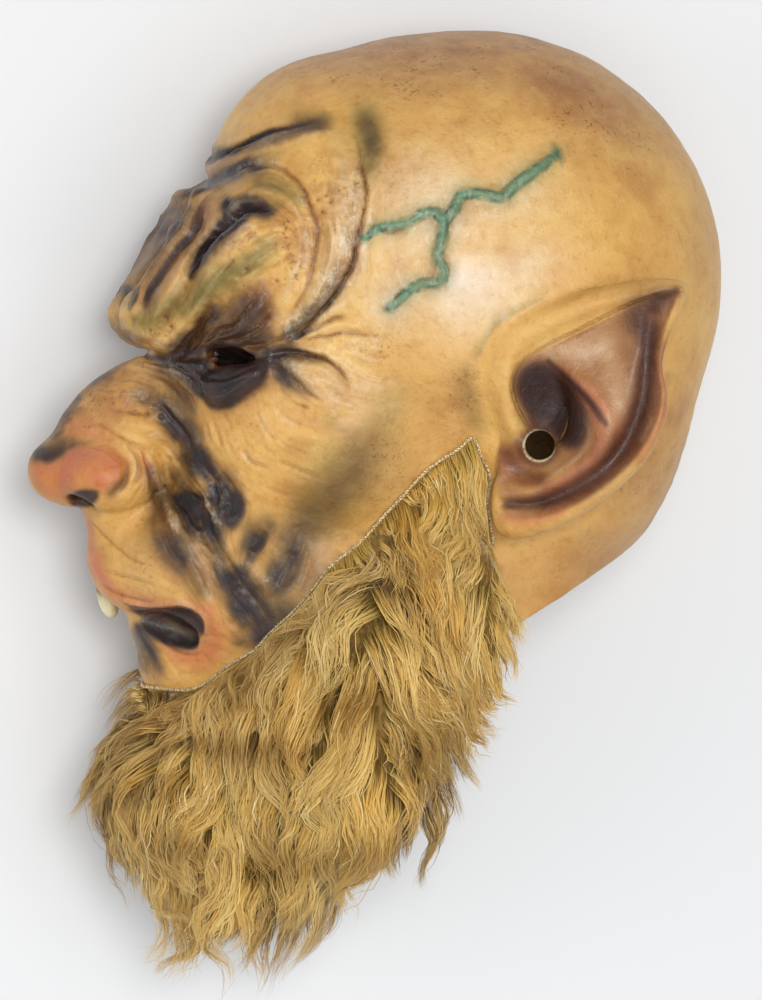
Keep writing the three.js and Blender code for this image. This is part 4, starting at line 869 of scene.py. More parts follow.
def on_ear(p, u, v):
    """1 on the ears, 0 on the head"""
    z = np.abs(p[:, 2])
    spread = np.where(p[:, 2] > 0, 0.40, 0.10)
    front = 80 + spread * (u - 490) * MM_PX + sample(EAR_RELIEF, u, v)
    return smooth(-sample(EAR_SD, u, v), -4, 1) * smooth(z - front, -9, -5)


FACE_SD = sdist([(214, 118), (262, 108), (330, 110), (372, 122), (386, 160), (386, 222), (372, 268), (372, 330), (398, 346), (372, 400), (330, 424), (312, 478), (300, 520), (312, 560),
                 (296, 606), (262, 640), (204, 688), (130, 694), (70, 620), (60, 540), (10, 506), (14, 430), (70, 370), (100, 330), (96, 280), (160, 190)], 20)


def zone_of(v, u, w, base):
    """1 on the painted face, 2 on the upper ear, 0 elsewhere"""
    z = np.zeros(len(v), int)
    ok = (base > -1.2) & (v[:, 2] > 1.5)
    ear_in = (sample(EAR_SD, u, w) < 7) & (v[:, 2] > 58)
    z[ok & (sample(FACE_SD, u, w) < 0) & ~ear_in] = 1
    z[(v[:, 2] > 58) & ear_in & (base > -1.2)] = 2
    return z


def unit(v):
    return v / (np.linalg.norm(v, axis=1, keepdims=True) + 1e-9)


def split4(v, q):
    """each quad in four: the vertices with those added, the quads, the added vertices' two ends where they lie on the border"""
    e = np.stack([q, np.roll(q, -1, 1)], -1).reshape(-1, 2)
    key = np.sort(e, 1); key = key[:, 0].astype(np.int64) * len(v) + key[:, 1]
    uq, inv, cnt = np.unique(key, return_inverse=True, return_counts=True)
    ends = np.stack([uq // len(v), uq % len(v)], 1)
    mid = v[ends].mean(1); cen = v[q].mean(1)
    m = len(v) + inv.reshape(-1, 4); c = len(v) + len(uq) + np.arange(len(q))
    out = []
    for k in range(4):
        out.append(np.stack([q[:, k], m[:, k], c, m[:, k - 1]], 1))
    border = np.nonzero(cnt == 1)[0]
    return np.concatenate([v, mid, cen]), np.concatenate(out), len(v) + border, ends[border]


def normals_of(v, q):
    n = np.zeros_like(v)
    fn = np.cross(v[q[:, 2]] - v[q[:, 0]], v[q[:, 3]] - v[q[:, 1]])
    for k in range(4):
        for a in range(3):
            n[:, a] += np.bincount(q[:, k], fn[:, a], len(v))
    return n / (np.linalg.norm(n, axis=1, keepdims=True) + 1e-9)


def piece(name, v, q, inner, normals=None):
    used, back = np.unique(q, return_inverse=True)
    o = mesh_object(name, v[used], back.reshape(q.shape), [])
    a = o.data.attributes.new("inside", "FLOAT", "POINT"); a.data.foreach_set("value", inner[used].astype(F))
    if normals is not None:
        o.data.normals_split_custom_set_from_vertices(normals[used].tolist())
    return o, used


def skin_shapes():
    v, q = meshed(mask_field, (-158, -112, -92), (150, 204, 124), CELL)
    base = np.maximum(skull(v), -pits(v))
    u, w = face_uv(v)
    zone = zone_of(v, u, w, base)
    zq = np.where((zone[q] == 1).all(1), 1, np.where((zone[q] == 2).all(1), 2, 0))
    fn = unit(np.cross(v[q[:, 2]] - v[q[:, 0]], v[q[:, 3]] - v[q[:, 1]]))
    zq[(zq > 0) & (fn @ CAM < np.where(zq == 1, -0.35, -0.15))] = 0          # nothing that faces well away
    n0 = len(v)
    v, qf, ba, ea = split4(v, q[zq == 1])
    v, qe, bb, eb = split4(v, q[zq == 2])
    border, ends = np.r_[ba, bb], np.vstack([ea, eb])
    new = np.arange(len(v)) >= n0
    touched = np.zeros(len(v), bool); touched[np.unique(np.concatenate([qf.ravel(), qe.ravel()]))] = True
    fine_ = np.nonzero(touched)[0]
    for _ in range(2):
        x = v[fine_]; f = mask_field(x)
        v[fine_] = x - gradient(mask_field, x, 0.5) * np.clip(f, -0.5, 0.5)[:, None]
    base = np.maximum(skull(v), -pits(v))
    inner = base < -WALL * 0.55
    g = gradient(lambda p: smax(skull(p), -pits(p), 4), v, 1.0)
    m = ~inner
    g[m] = gradient(mask_field, v[m], 0.6)
    at = v + g * np.where(inner, WALL, 0.0)[:, None]      # the lining follows the skin over it
    u, w = face_uv(at)
    d = sample(REL, u, w) * (0.35 + 0.65 * smooth(np.abs(v[:, 2]), 3, 24))
    low = 0.40 * noise(v, 14, 1) + 0.18 * noise(v, 6, 2) + 0.08 * noise(v, 3.2, 3) + 0.035 * noise(v, 1.7, 4)
    ear_w = on_ear(v, u, w)
    out = (d + low * (1 - 0.6 * ear_w))
    wall = smooth(base, -WALL * 0.55, -0.25)          # none of it on the cut rims of the openings
    keep = np.where(inner, np.minimum(d + 0.6, 0.0), out * np.where(base > 0.4, 1.0, wall))
    keep *= smooth(v[:, 2] - FLOOR, 0.2, 4)           # the flat it lies on stays flat
    nv = v + g * keep[:, None]
    nv[:, 2] = np.maximum(nv[:, 2], FLOOR)
    nv[border] = nv[ends].mean(1)
    whole = np.concatenate([q[zq == 0], qf, qe])
    nrm = normals_of(nv, whole)
    # the coarser rest runs two rings in under the fine pieces
    rim = np.zeros(len(v), int); rim[np.unique(q[zq == 0])] = 1
    band = zq < 0
    for ring in (2, 3):
        add = (zq > 0) & ~band & (rim[q] > 0).any(1)
        band |= add
        fresh = np.unique(q[add]); fresh = fresh[rim[fresh] == 0]; rim[fresh] = ring
    rv = nv - nrm * np.array([0, 0, 0.35, 0.7])[np.clip(rim, 0, 3)][:, None]
    # where the mesh has to stay fine: creases and the edges of the paint, on the upper side most of all
    fine = np.hypot(*np.gradient(blur(DARK + 0.6 * OLIVE + 0.8 * PURPLE + 0.6 * PINK + VEIN + 0.5 * PALE + 0.8 * E_DARK_AND_SHADE + 0.5 * E_IN, 1.5))) * 6
    wgt = np.clip(sample(fine, u, w), 0, 1) * np.where(v[:, 2] > 0, 1, 0.12) * (~inner)
    wgt = 0.0011 * wgt + 0.0005 * (~inner) * (v[:, 2] > 5) * (np.abs(sample(REL, u, w)) > 0.15) + 0.0015 * (rim > 1)
    print("skin", len(q), "quads", len(qf), len(qe), round(time.time() - T0, 1))
    rest, used = piece("latex_skin", rv, q[(zq == 0) | band], inner)
    vg = rest.vertex_groups.new(name="fine")
    lv = np.round(wgt[used] / wgt.max() * 15).astype(int)
    for k in range(1, 16):
        idx = np.nonzero(lv == k)[0]
        if len(idx):
            vg.add(idx.tolist(), float(k / 15 * wgt.max()), "REPLACE")
    tris = len(rest.data.polygons) * 2
    if tris > REST:
        applied(rest, "DECIMATE", ratio=REST / tris, vertex_group="fine", vertex_group_factor=1.0, invert_vertex_group=True)
    face, _ = piece("latex_face", nv, qf, inner, nrm)
    ear_, _ = piece("latex_ear", nv, qe, inner, nrm)
    return rest, face, ear_


REST = 78000
SKINS = skin_shapes()
print("skin pieces", [sum(len(p.vertices) - 2 for p in o.data.polygons) for o in SKINS], round(time.time() - T0, 1))
MAPS = dict(dark=DARK, olive=OLIVE, purple=PURPLE, pink=PINK, pale=PALE, vein=VEIN, brown=BROWN, gloss=GLOSS, cav=CAVITY, smoke=SMOKE, bare=BARE, halo=HALO, wr=WRINKLED, fine=FINE, mid=MID, broad=BROAD,
            ein=E_IN, edark_and_shade=E_DARK_AND_SHADE, eorange=E_ORANGE, epurple=E_PURPLE, ehighlight=E_HIGHLIGHT, eochre=E_OCHRE, temple_sheen=TEMPLE_SHEEN, tan=TAN)


EDGE_SD = sdist([(473, 436), (461, 447), (441, 460), (423, 474), (401, 498), (380, 520), (366, 537), (350, 551), (335, 562), (322, 577), (311, 592), (292, 613), (268, 635), (257, 648),
                 (243, 657), (230, 664), (206, 683), (187, 690), (161, 688), (139, 687), (90, 672), (30, 640), (20, 760), (40, 960), (250, 996), (520, 960), (540, 700), (512, 590),
                 (494, 552), (489, 516), (487, 502), (489, 488), (490, 475), (485, 464), (479, 452)], 60)


def in_fur(p):
    """how far inside the fur's outline, in px, seen from the side"""
    q = np.asarray(p, float).copy(); q[:, 2] = np.abs(q[:, 2])
    u, v = project(q)
    return -sample(EDGE_SD, u, v)


def ear_cover():
    """height of the ear over the head, seen from the side"""
    top = np.full((H2 // 4 + 2, W2 // 4 + 2), -300.0)
    for o in SKINS:
        P = coords(o.data)
        P = P[P[:, 2] > 0]
        U, V = face_uv(P)
        P, U, V = [a[on_ear(P, U, V) > 0.6] for a in (P, U, V)]
        np.maximum.at(top, (np.clip(V / 4, 0, H2 // 4).astype(int), np.clip(U / 4, 0, W2 // 4).astype(int)), P[:, 2])
    return blur(np.clip(np.kron(top, np.ones((4, 4)))[:H2, :W2], 0, 300), 3)


EAR_TOP = ear_cover()


def painted(o):
    P = coords(o.data)
    U, V = face_uv(P)
    S = {k: sample(m, U, V).astype(float) for k, m in MAPS.items()}
    ear_m = on_ear(P, U, V)
    inner = np.empty(len(P), F); o.data.attributes["inside"].data.foreach_get("value", inner); inner = inner.astype(float)
    for k in ("olive", "brown", "temple_sheen", "tan", "pale", "dark", "purple", "pink", "vein", "halo", "wr", "cav", "smoke"):
        S[k] *= 1 - ear_m
    under = smooth(sample(EAR_TOP, U, V) - np.abs(P[:, 2]), 5, 11) * (1 - ear_m)       # the head behind the ear
    for k in ("olive", "dark", "purple", "vein", "smoke", "edark_and_shade", "halo"):
        S[k] *= 1 - (0.92 if k != "halo" else 0.6) * under
    for k in ("dark", "olive", "purple", "cav", "vein", "smoke"):
        S[k] *= 1 - inner
    n1 = noise(P, 30, 11) * 0.5 + noise(P, 12, 12) * 0.35 + noise(P, 5, 13) * 0.2
    n2 = noise(P, 3.5, 14) * 0.6 + noise(P, 1.8, 15) * 0.4
    n3 = noise(P, 2.2, 16)
    C = np.tile(rgb("#D9A95E"), (len(P), 1))
    st = S["wr"] * (0.5 * S["fine"] + 0.5 * S["mid"])       # brush marks that follow the folds

    def tint(colour, amount):
        nonlocal C
        a = np.clip(amount, 0, 1)[:, None]
        C = C * (1 - a) + rgb(colour) * a

    tint("#E6BC68", 0.66 * smooth(n1, -0.5, 0.6))
    tint("#A97A50", S["tan"] * (0.76 + 0.45 * n1))
    # painted highlight: pale cream over the temple
    tint("#E2D1C2", S["temple_sheen"] * (0.84 + 0.45 * n1))
    tint("#A9743A", 0.55 * smooth(noise(P, 22, 18) * 0.6 + noise(P, 9, 19) * 0.5, 0.25, 0.95) * (1 - ear_m))
    tint("#B57F3E", S["wr"] * smooth(S["broad"] * 0.6 + n1, 0.1, 1.4) * 0.5)
    tint("#665F2B", S["olive"] * (0.92 + 0.15 * n2 - 0.12 * st))
    tint("#C8703F", S["pink"] * (0.60 + 0.1 * n2)); tint("#C4685A", S["pink"] * smooth(n1 + 0.2 * n2, -0.3, 0.7) * 0.55)
    tint("#7A4A26", S["halo"] * (0.62 + 0.25 * n2 + 0.18 * st))
    tint("#6B3F3C", S["purple"] * (0.84 + 0.2 * n2 + 0.15 * st))
    tint("#85522A", S["brown"] * 0.62 * smooth(n2 + 0.5 * n1, -0.5, 0.5))
    sm = S["smoke"] * (0.95 + 0.16 * n2 + 0.14 * st)
    tint("#6B4F2A", smooth(sm, 0.0, 0.55) * 0.66); tint("#2F2829", smooth(sm, 0.26, 1.0) * 0.92 * (1 - 0.30 * smooth(-S["cav"], 0.3, 1.6) * (1 - S["gloss"])))
    tint("#BE8F50", S["bare"] * (0.66 + 0.25 * n2)); S["dark"] *= 1 - 0.7 * np.clip(S["bare"], 0, 1)
    tint("#3F765C", S["vein"] * (0.88 + 0.25 * n2)); tint("#22493C", smooth(S["vein"], 0.22, 0.7) * smooth(S["cav"], -0.20, 0.40) * 0.95); tint("#8FB99A", smooth(S["vein"], 0.6, 1.0) * smooth(n2, 0.1, 0.7) * 0.34)
    # the ear: rim as the skin, pinkish brown inside, a near-black bowl of dark paint and painted shade
    tint("#CC9F5A", ear_m * 0.55)
    e = ear_m * S["ein"]
    tint("#9A6C46", e * (0.92 + 0.1 * n2)); tint("#BC7048", ear_m * S["eorange"] * 0.85); tint("#CD9B55", ear_m * S["eochre"] * 0.8)
    # purple-brown groove, greyish tan painted highlights, and where the ear's bowl lies
    tint("#5A342F", ear_m * S["epurple"] * 0.85 * (0.85 + 0.2 * n2)); tint("#C3A27C", ear_m * S["ehighlight"] * (0.8 + 0.2 * n2)); bowl = smooth(np.abs(P[:, 2]), 55, 61) * smooth(-sample(EAR_SD, U, V), -4, 1) * (1 - inner)
    tint("#2A1410", np.maximum(ear_m, bowl) * S["edark_and_shade"] * 0.97)
    # brown wash in the creases with painted shade over it, near-black where deepest, and pale brushing on their lips
    cav = S["cav"]
    tint("#7A4E28", smooth(cav, 0.18, 1.3) * 0.66 * (0.85 + 0.3 * n2)); tint("#3A2018", smooth(cav, 0.9, 2.8) * 0.8)
    tint("#EBDCBE", (S["pale"] * smooth(n2 + 0.4 * st, -0.4, 0.7) * 0.34 + smooth(-cav, 0.15, 1.1) * (0.10 + 0.12 * S["wr"]) * (1 - 0.9 * S["gloss"])) * (1 - ear_m) * (1 - 0.9 * S["smoke"]))
    # inside the nostrils and the mouth
    x, y, z = split(P); za = np.sqrt(z * z + F(0.5))
    # the nostril pit near-black brown as painted shade of its opening; the mouth's slate grey is its paint
    for b, colour, lo, hi in ((PITS[0], "#24110D", 1.6, 0.0), (PITS[2], "#3D383B", 2.6, 0.2)):
        k = smooth(-ell(x, y, za, b).astype(float), -lo, -hi) * (1 - inner)
        tint(colour, k * 0.96)
        S["dark"] *= 1 - 0.8 * k
    edge_hole = smooth(-np.abs(np.hypot(U - 539, V - 446) * MM_PX - 6.3), -0.9, -0.2) * ear_m
    tint("#E4D2AC", edge_hole * 0.9)
    # the lining: plain latex darkened as painted shade, with near-black painted shade round the eye holes
    tint("#9A7C52", inner); tint("#33241B", 0.93 * inner * smooth(-np.hypot(U - 242, V - 360) * MM_PX, -48, -26))
    # skin under the fur in the under-fur's dark gold: painted shade between the strands
    tint("#8F6A32", smooth(in_fur(P), 0.5, 5.0) * 0.95 * (1 - inner) * smooth(-P[:, 1], -44, -30) * smooth(-P[:, 0], -42, -34))
    eye_m = smooth(-np.abs(sample(EYE_SD, U, V)), -3.2, -0.6) * (1 - inner) * (P[:, 0] < -30)
    tint("#6B2A26", eye_m * 0.7)
    paint_points(o.data, "paint", np.concatenate([to_linear(np.clip(C, 0, 1)), np.ones((len(P), 1))], 1))
    paint_points(o.data, "brush", np.stack([np.clip(S["dark"], 0, 1), np.clip(S["pale"] * (1 - inner), 0, 1), np.clip(cav * 0.5 + 0.5, 0, 1), np.clip(S["olive"] + S["purple"], 0, 1)], 1))
    # third channel: dry brushing, with half the temple's painted highlight
    paint_points(o.data, "wear_and_sheen", np.stack([np.clip(0.12 + S["brown"] + 0.25 * S["tan"], 0, 1) * (1 - inner), np.clip(S["gloss"] + 0.6 * ear_m * S["ein"] * (1 - 0.8 * S["edark_and_shade"]) + 0.25 * S["vein"] + 0.25 * S["wr"], 0, 1) * (1 - inner),
                                           np.clip(S["pale"] + 0.5 * S["temple_sheen"], 0, 1) * (1 - inner), inner], 1))


for o in SKINS:
    painted(o)
print("skin painted", round(time.time() - T0, 1))


# ------------------------------------------------------------------ materials
class Nodes:
    def __init__(self, name):
        self.mat = bpy.data.materials.new(name); self.mat.use_nodes = True
        self.t = self.mat.node_tree
        self.b = next(n for n in self.t.nodes if n.type == "BSDF_PRINCIPLED")

    def new(self, kind, **kw):
        n = self.t.nodes.new(kind)
        for k, v in kw.items():
            setattr(n, k, v)
        return n

    def link(self, a, b):
        self.t.links.new(a, b)

    def put(self, sock, v):
        if isinstance(v, bpy.types.NodeSocket):
            self.link(v, sock)
        else:
            sock.default_value = v

    def attr(self, name):
        return self.new("ShaderNodeAttribute", attribute_name=name)

    def parts(self, name):
        s = self.new("ShaderNodeSeparateColor"); self.link(self.attr(name).outputs["Color"], s.inputs[0])
        return s.outputs

    def noise(self, scale, detail=3.0, rough=0.55, stretch=None, distortion=0.0):
        n = self.new("ShaderNodeTexNoise"); n.inputs["Scale"].default_value = scale; n.inputs["Detail"].default_value = detail
        n.inputs["Roughness"].default_value = rough; n.inputs["Distortion"].default_value = distortion
        c = self.new("ShaderNodeTexCoord")
        if stretch:
            m = self.new("ShaderNodeMapping"); m.inputs["Scale"].default_value = stretch
            self.link(c.outputs["Object"], m.inputs["Vector"]); self.link(m.outputs[0], n.inputs["Vector"])
        else:
            self.link(c.outputs["Object"], n.inputs["Vector"])
        return n.outputs["Fac"]

    def ramp(self, fac, a, b, lo=0.0, hi=1.0):
        n = self.new("ShaderNodeMapRange"); n.interpolation_type = "SMOOTHSTEP"
        self.put(n.inputs["Value"], fac); n.inputs["From Min"].default_value = a; n.inputs["From Max"].default_value = b
        n.inputs["To Min"].default_value = lo; n.inputs["To Max"].default_value = hi
        return n.outputs[0]

    def math(self, op, a, b=0.0, c=0.0, clamp=False):
        n = self.new("ShaderNodeMath", operation=op, use_clamp=clamp)
        self.put(n.inputs[0], a); self.put(n.inputs[1], b)
        if op == "MULTIPLY_ADD":
            self.put(n.inputs[2], c)
        return n.outputs[0]

    def mix(self, fac, a, b, kind="MIX"):
        n = self.new("ShaderNodeMix", data_type="RGBA", blend_type=kind)
        self.put(n.inputs[0], fac); self.put(n.inputs[6], a); self.put(n.inputs[7], b)
        return n.outputs[2]

    def bump(self, height, strength, dist, normal=None):
        n = self.new("ShaderNodeBump"); n.inputs["Strength"].default_value = strength; n.inputs["Distance"].default_value = dist
        self.link(height, n.inputs["Height"])
        if normal is not None:
            self.link(normal, n.inputs["Normal"])
        return n.outputs[0]


def latex_material():
    m = Nodes("painted_latex"); b = m.b
    w = m.parts("wear_and_sheen")           # speckle, gloss, dry brushing with the temple's painted highlight
    inner = m.attr("wear_and_sheen").outputs["Alpha"]
    col = m.attr("paint").outputs["Color"]
    # airbrushed mottling
    col = m.mix(m.ramp(m.noise(30, 5, 0.62, None, 0.3), 0.42, 0.68, 0.0, 0.55), col, (0.80, 0.66, 0.50, 1), "MULTIPLY")
    col = m.mix(m.ramp(m.noise(95, 3, 0.55), 0.46, 0.68, 0.0, 0.50), col, (0.90, 0.80, 0.66, 1), "MULTIPLY")
    col = m.mix(m.ramp(m.noise(260, 3, 0.6), 0.52, 0.70, 0.0, 0.50), col, (0.84, 0.70, 0.54, 1), "MULTIPLY")
    # stipple: small brown dots, gathered where the brush went
    sp = m.ramp(m.noise(620, 2, 0.5), 0.57, 0.66)
    group = m.ramp(m.noise(70, 3, 0.6), 0.44, 0.62)
    col = m.mix(m.math("MULTIPLY", m.math("MULTIPLY", sp, group), m.ramp(w[0], 0.02, 0.75, 0.03, 0.72)), col, (0.17, 0.075, 0.025, 1))
    dots = m.ramp(m.noise(1500, 1, 0.5), 0.69, 0.75)
    col = m.mix(m.math("MULTIPLY", dots, m.ramp(w[0], 0.0, 0.8, 0.10, 0.65)), col, (0.12, 0.05, 0.02, 1))
    # dry brushing: broken pale streaks, also laid over the temple's painted highlight
    st = m.ramp(m.noise(330, 3, 0.65, (1.0, 0.5, 1.0), 0.6), 0.52, 0.66)
    col = m.mix(m.math("MULTIPLY", st, m.math("MULTIPLY", w[2], 0.5)), col, (0.84, 0.74, 0.60, 1))
    # blackish paint laid on with a brush: solid in its middle, broken at its edges, rubbed off the raised folds
    br = m.parts("brush")
    grain = m.math("ADD", m.math("MULTIPLY_ADD", m.noise(150, 4, 0.65, None, 0.5), 0.9, -0.45), m.math("MULTIPLY_ADD", m.noise(640, 3, 0.6), 0.55, -0.275))
    raised = m.math("MULTIPLY", m.ramp(br[2], 0.46, 0.18), m.ramp(w[1], 0.45, 0.9, 1.0, 0.0))
    amount = m.math("ADD", br[0], m.math("MULTIPLY", grain, 0.26))
    amount = m.math("MULTIPLY_ADD", raised, -0.34, amount)
    dark = m.ramp(amount, 0.08, 0.78, 0.0, 0.94)
    tone = m.mix(m.ramp(m.noise(75, 3), 0.42, 0.62), lin("#262224"), lin("#3C2A29"))
    col = m.mix(dark, col, tone)
    # pale dry brushing catches on what stands proud
    cat = m.math("MULTIPLY", m.ramp(grain, -0.12, 0.22), m.math("ADD", m.math("MULTIPLY", br[1], 0.62), m.math("MULTIPLY", raised, m.ramp(br[0], 0.0, 0.5, 0.12, 0.07))), clamp=True)
    col = m.mix(cat, col, lin("#E2D2B8"))
    m.put(b.inputs["Base Color"], col)
    rough = m.math("MULTIPLY_ADD", w[1], -0.24, 0.48)
    rough = m.math("ADD", rough, m.math("MULTIPLY_ADD", m.noise(160, 3), 0.22, -0.11))
    rough = m.math("MULTIPLY_ADD", inner, 0.25, rough, clamp=True)
    m.put(b.inputs["Roughness"], rough)
    n = m.bump(m.noise(210, 5, 0.66, (1.0, 1.0, 1.0), 0.5), 0.58, 0.0013)
    n = m.bump(m.noise(800, 3, 0.65), 0.45, 0.0005, n)
    wr = m.new("ShaderNodeTexWave", wave_type="BANDS", bands_direction="DIAGONAL"); wr.inputs["Scale"].default_value = 55; wr.inputs["Distortion"].default_value = 14
    wr.inputs["Detail"].default_value = 3; wr.inputs["Detail Scale"].default_value = 1.6
    c = m.new("ShaderNodeTexCoord"); m.link(c.outputs["Object"], wr.inputs["Vector"])
    n = m.bump(wr.outputs["Fac"], 0.10, 0.0006, n)
    m.put(b.inputs["Normal"], n)
    b.inputs["Specular IOR Level"].default_value = 0.34
    b.inputs["Coat Weight"].default_value = 0.12; b.inputs["Coat Roughness"].default_value = 0.24
    b.inputs["Subsurface Weight"].default_value = 0.04; b.inputs["Subsurface Radius"].default_value = (0.004, 0.002, 0.001)
    b.inputs["Subsurface Scale"].default_value = 0.5
    return m.mat


LATEX = latex_material()
for o in SKINS:
    o.data.materials.append(LATEX)


def shift(o):
    """from the head's axes (mm) to the row's frame (m)"""
    c = coords(o.data)
    o.data.vertices.foreach_set("co", ((c + SHIFT) * 0.001).astype(F).ravel()); o.data.update()
    return o


for o in SKINS:
    shift(o)
    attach(o, "root"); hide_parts("latex_mask")


# ------------------------------------------------------------------ the one tooth, out of the upper lip
def tooth():
    rings, segs = 26, 28
    pts = []
    for i in range(rings + 1):
        t = i / rings
        c = np.array([-115.0 + 2.2 * t + 1.4 * t * t, -34.2 - 15.0 * t, -17.0])
        r = (3.8 + 0.5 * math.sin(math.pi * min(t * 1.2, 1)) - 0.5 * t) * (math.sqrt(max(1 - max((t - 0.72) / 0.285, 0) ** 2, 0)))
        for k in range(segs):
            a = 2 * math.pi * k / segs
            fl = 1 + 0.05 * math.cos(3 * a + 1) + 0.02 * math.sin(7 * a)
            pts.append(c + np.array([math.cos(a) * r * fl, 0.25 * math.cos(a) * r, math.sin(a) * r * 0.82 * fl]))
    n = len(pts); pts += [pts[0] * 0 + np.array([-115.0, -34.2, -17.0]), np.array([-111.5, -49.3, -17.0])]
    faces = []
    for i in range(rings):
        for k in range(segs):
            a, b = i * segs + k, i * segs + (k + 1) % segs
            faces += [(a, b, b + segs), (a, b + segs, a + segs)]
    for k in range(segs):
        faces += [(n, (k + 1) % segs, k), (n + 1, rings * segs + k, rings * segs + (k + 1) % segs)]
    return mesh_object("tooth", np.array(pts), faces, [])


def tooth_material():
    m = Nodes("ivory_tooth"); b = m.b
    c = m.new("ShaderNodeTexCoord"); s = m.new("ShaderNodeSeparateXYZ"); m.link(c.outputs["Object"], s.inputs[0])
    t = m.ramp(s.outputs["Y"], -0.0385, -0.0315)
    stain = m.math("ADD", t, m.math("MULTIPLY_ADD", m.noise(420, 4), 0.7, -0.35), clamp=True)
    col = m.mix(stain, lin("#E6DDB4"), lin("#8A5A2C"))
    col = m.mix(m.ramp(m.noise(900, 3, 0.6, (1, 0.2, 1)), 0.5, 0.7, 0, 0.3), col, lin("#B79A5E"))
    m.put(b.inputs["Base Color"], col)
    m.put(b.inputs["Roughness"], m.math("MULTIPLY_ADD", m.noise(300, 2), 0.2, 0.14))
    m.put(b.inputs["Normal"], m.bump(m.noise(700, 3, 0.6, (1, 0.2, 1)), 0.2, 0.0003))
    b.inputs["Coat Weight"].default_value = 0.3
    return m.mat


fang = tooth(); fang.data.materials.append(tooth_material()); shift(fang)
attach(fang, "root"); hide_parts("latex_mask")


# ------------------------------------------------------------------ fur
EDGE_X, EDGE_Y, EDGE_NX, EDGE_NY = 24.0, 31.0, 0.66, -0.751
BEARD = [
    (-63, -110, 0, 63, 74, 68, 0, 0),
    (-60, -151, 0, 48, 53, 50, -8, 16),
    (-22, -80, 52, 51, 74, 44, -12, 16),
    (-24, -126, 44, 37, 34, 36, 0, 12),
]
# the trimmed edge over the cheek and in front of the ear, as it is seen from the side
EDGE_FRONT = [(473, 436), (461, 447), (441, 460), (423, 474), (401, 498), (380, 520), (366, 537), (350, 551), (335, 562), (322, 577), (311, 592), (292, 613), (268, 635), (257, 648),
              (243, 657), (230, 664), (206, 683), (187, 690), (161, 688), (141, 686)]
EDGE_REAR = [(473, 436), (479, 452), (485, 464), (490, 475), (489, 488), (486, 502), (489, 516), (491, 530), (494, 545)]


def envelope(p):
    x, y, z = split(p)
    s = (x - F(EDGE_X)) * F(EDGE_NX) + (y - F(EDGE_Y)) * F(EDGE_NY)
    t = F(2.0) + F(15.0) * smooth(s, 2, 46).astype(F)
    a = np.sqrt(z * z + F(0.5))
    return smin(skull(p) - t, smax(blend(BEARD, x, y, a), F(6) - s, 14), 10)


def march(u, v, level=0.0, field=skull):
    """the first point of the surface that the camera meets at u, v"""
    u = np.atleast_1d(np.asarray(u, float)); v = np.atleast_1d(np.asarray(v, float))
    a = lift(u, v, 140.0); b = lift(u, v, -20.0); d = b - a; n = np.linalg.norm(d, axis=1, keepdims=True); d = d / n
    t = np.zeros(len(u)); hit = np.zeros(len(u), bool)
    for _ in range(120):
        f = field(a + d * t[:, None]) - level
        hit |= f < 0.03
        t = np.where(hit, t, t + np.maximum(f * 0.7, 0.03))
    return a + d * t[:, None], hit & (t < n[:, 0])


def neck_room(p):
    x, y, z = split(p)
    a = ell(x, y, z, (34, -110, 0, 62, 150, 50, -6))
    b = np.maximum(np.maximum(F(34) - x, np.abs(z) - F(49)), y + F(20))
    return np.minimum(a, b)


BEHIND = np.array([(30, -6), (230, -6), (230, -330), (-12, -330), (2, -190), (10, -150), (20, -118), (32, -84), (42, -56), (44, -36), (38, -16)], float)


def behind(p):
    """signed distance to the cut at the back, in the side plane: negative behind it"""
    x, y, _ = split(p)
    d = np.full(len(x), 1e9)
    for a, b in zip(BEHIND, np.roll(BEHIND, -1, 0)):
        ab = b - a
        t = np.clip(((x - a[0]) * ab[0] + (y - a[1]) * ab[1]) / (ab @ ab), 0, 1)
        d = np.minimum(d, np.hypot(x - a[0] - t * ab[0], y - a[1] - t * ab[1]))
    return np.where(polyin(BEHIND, x.astype(float), y.astype(float)), -d, d)


def under(sk, env, y):
    """how deep below the fur's surface the backing and under-fur end"""
    return np.minimum(np.maximum(F(0.50) * (sk - env), F(0.4)), 9 + 20 * smooth(-y, 118, 172)).astype(F)


def core_field(p):
    """the backing and the dense under-fur that the long strands grow from"""
    env = envelope(p)
    sk = skull(p)
    inset = np.clip(-(in_fur(p)) * MM_PX, -60, 60)
    d = smax(env + under(sk, env, p[:, 1]), -(sk - F(0.5)), 0.5)
    d = smax(d, (inset + 1.0).astype(F) * F(0.8), 1.5)
    d = smax(d, -neck_room(p), 3)
    d = smax(d, (3.0 - behind(p)).astype(F) * F(0.9), 3)
    return smax(d, F(FLOOR) + F(1.0) - p[:, 2].astype(F), 2)


def fur_core():
    v, q = meshed(core_field, (-136, -206, -92), (60, 44, 102), 3.0)
    o = mesh_object("fur_backing_and_underfur", v, q, [])
    p = coords(o.data)
    back = np.maximum(smooth(-np.abs(neck_room(p)), -3.0, -0.8), smooth(-np.abs(behind(p) - 3.0), -2.5, -0.8))
    back = np.maximum(back, smooth(-np.abs(skull(p) - 0.5), -1.2, -0.5))
    n = noise(p, 14, 21) * 0.5 + noise(p, 5, 22) * 0.5
    # the under-fur in dark gold, its darkness painted shade deep among the strands; the backing's edges pale
    c = rgb("#8C6A30")[None] * (1 + 0.25 * n[:, None])
    c = c * (1 - back[:, None]) + rgb("#D6C79E")[None] * back[:, None]
    paint_points(o.data, "paint", np.concatenate([to_linear(np.clip(c, 0, 1)), back[:, None]], 1))
    return o


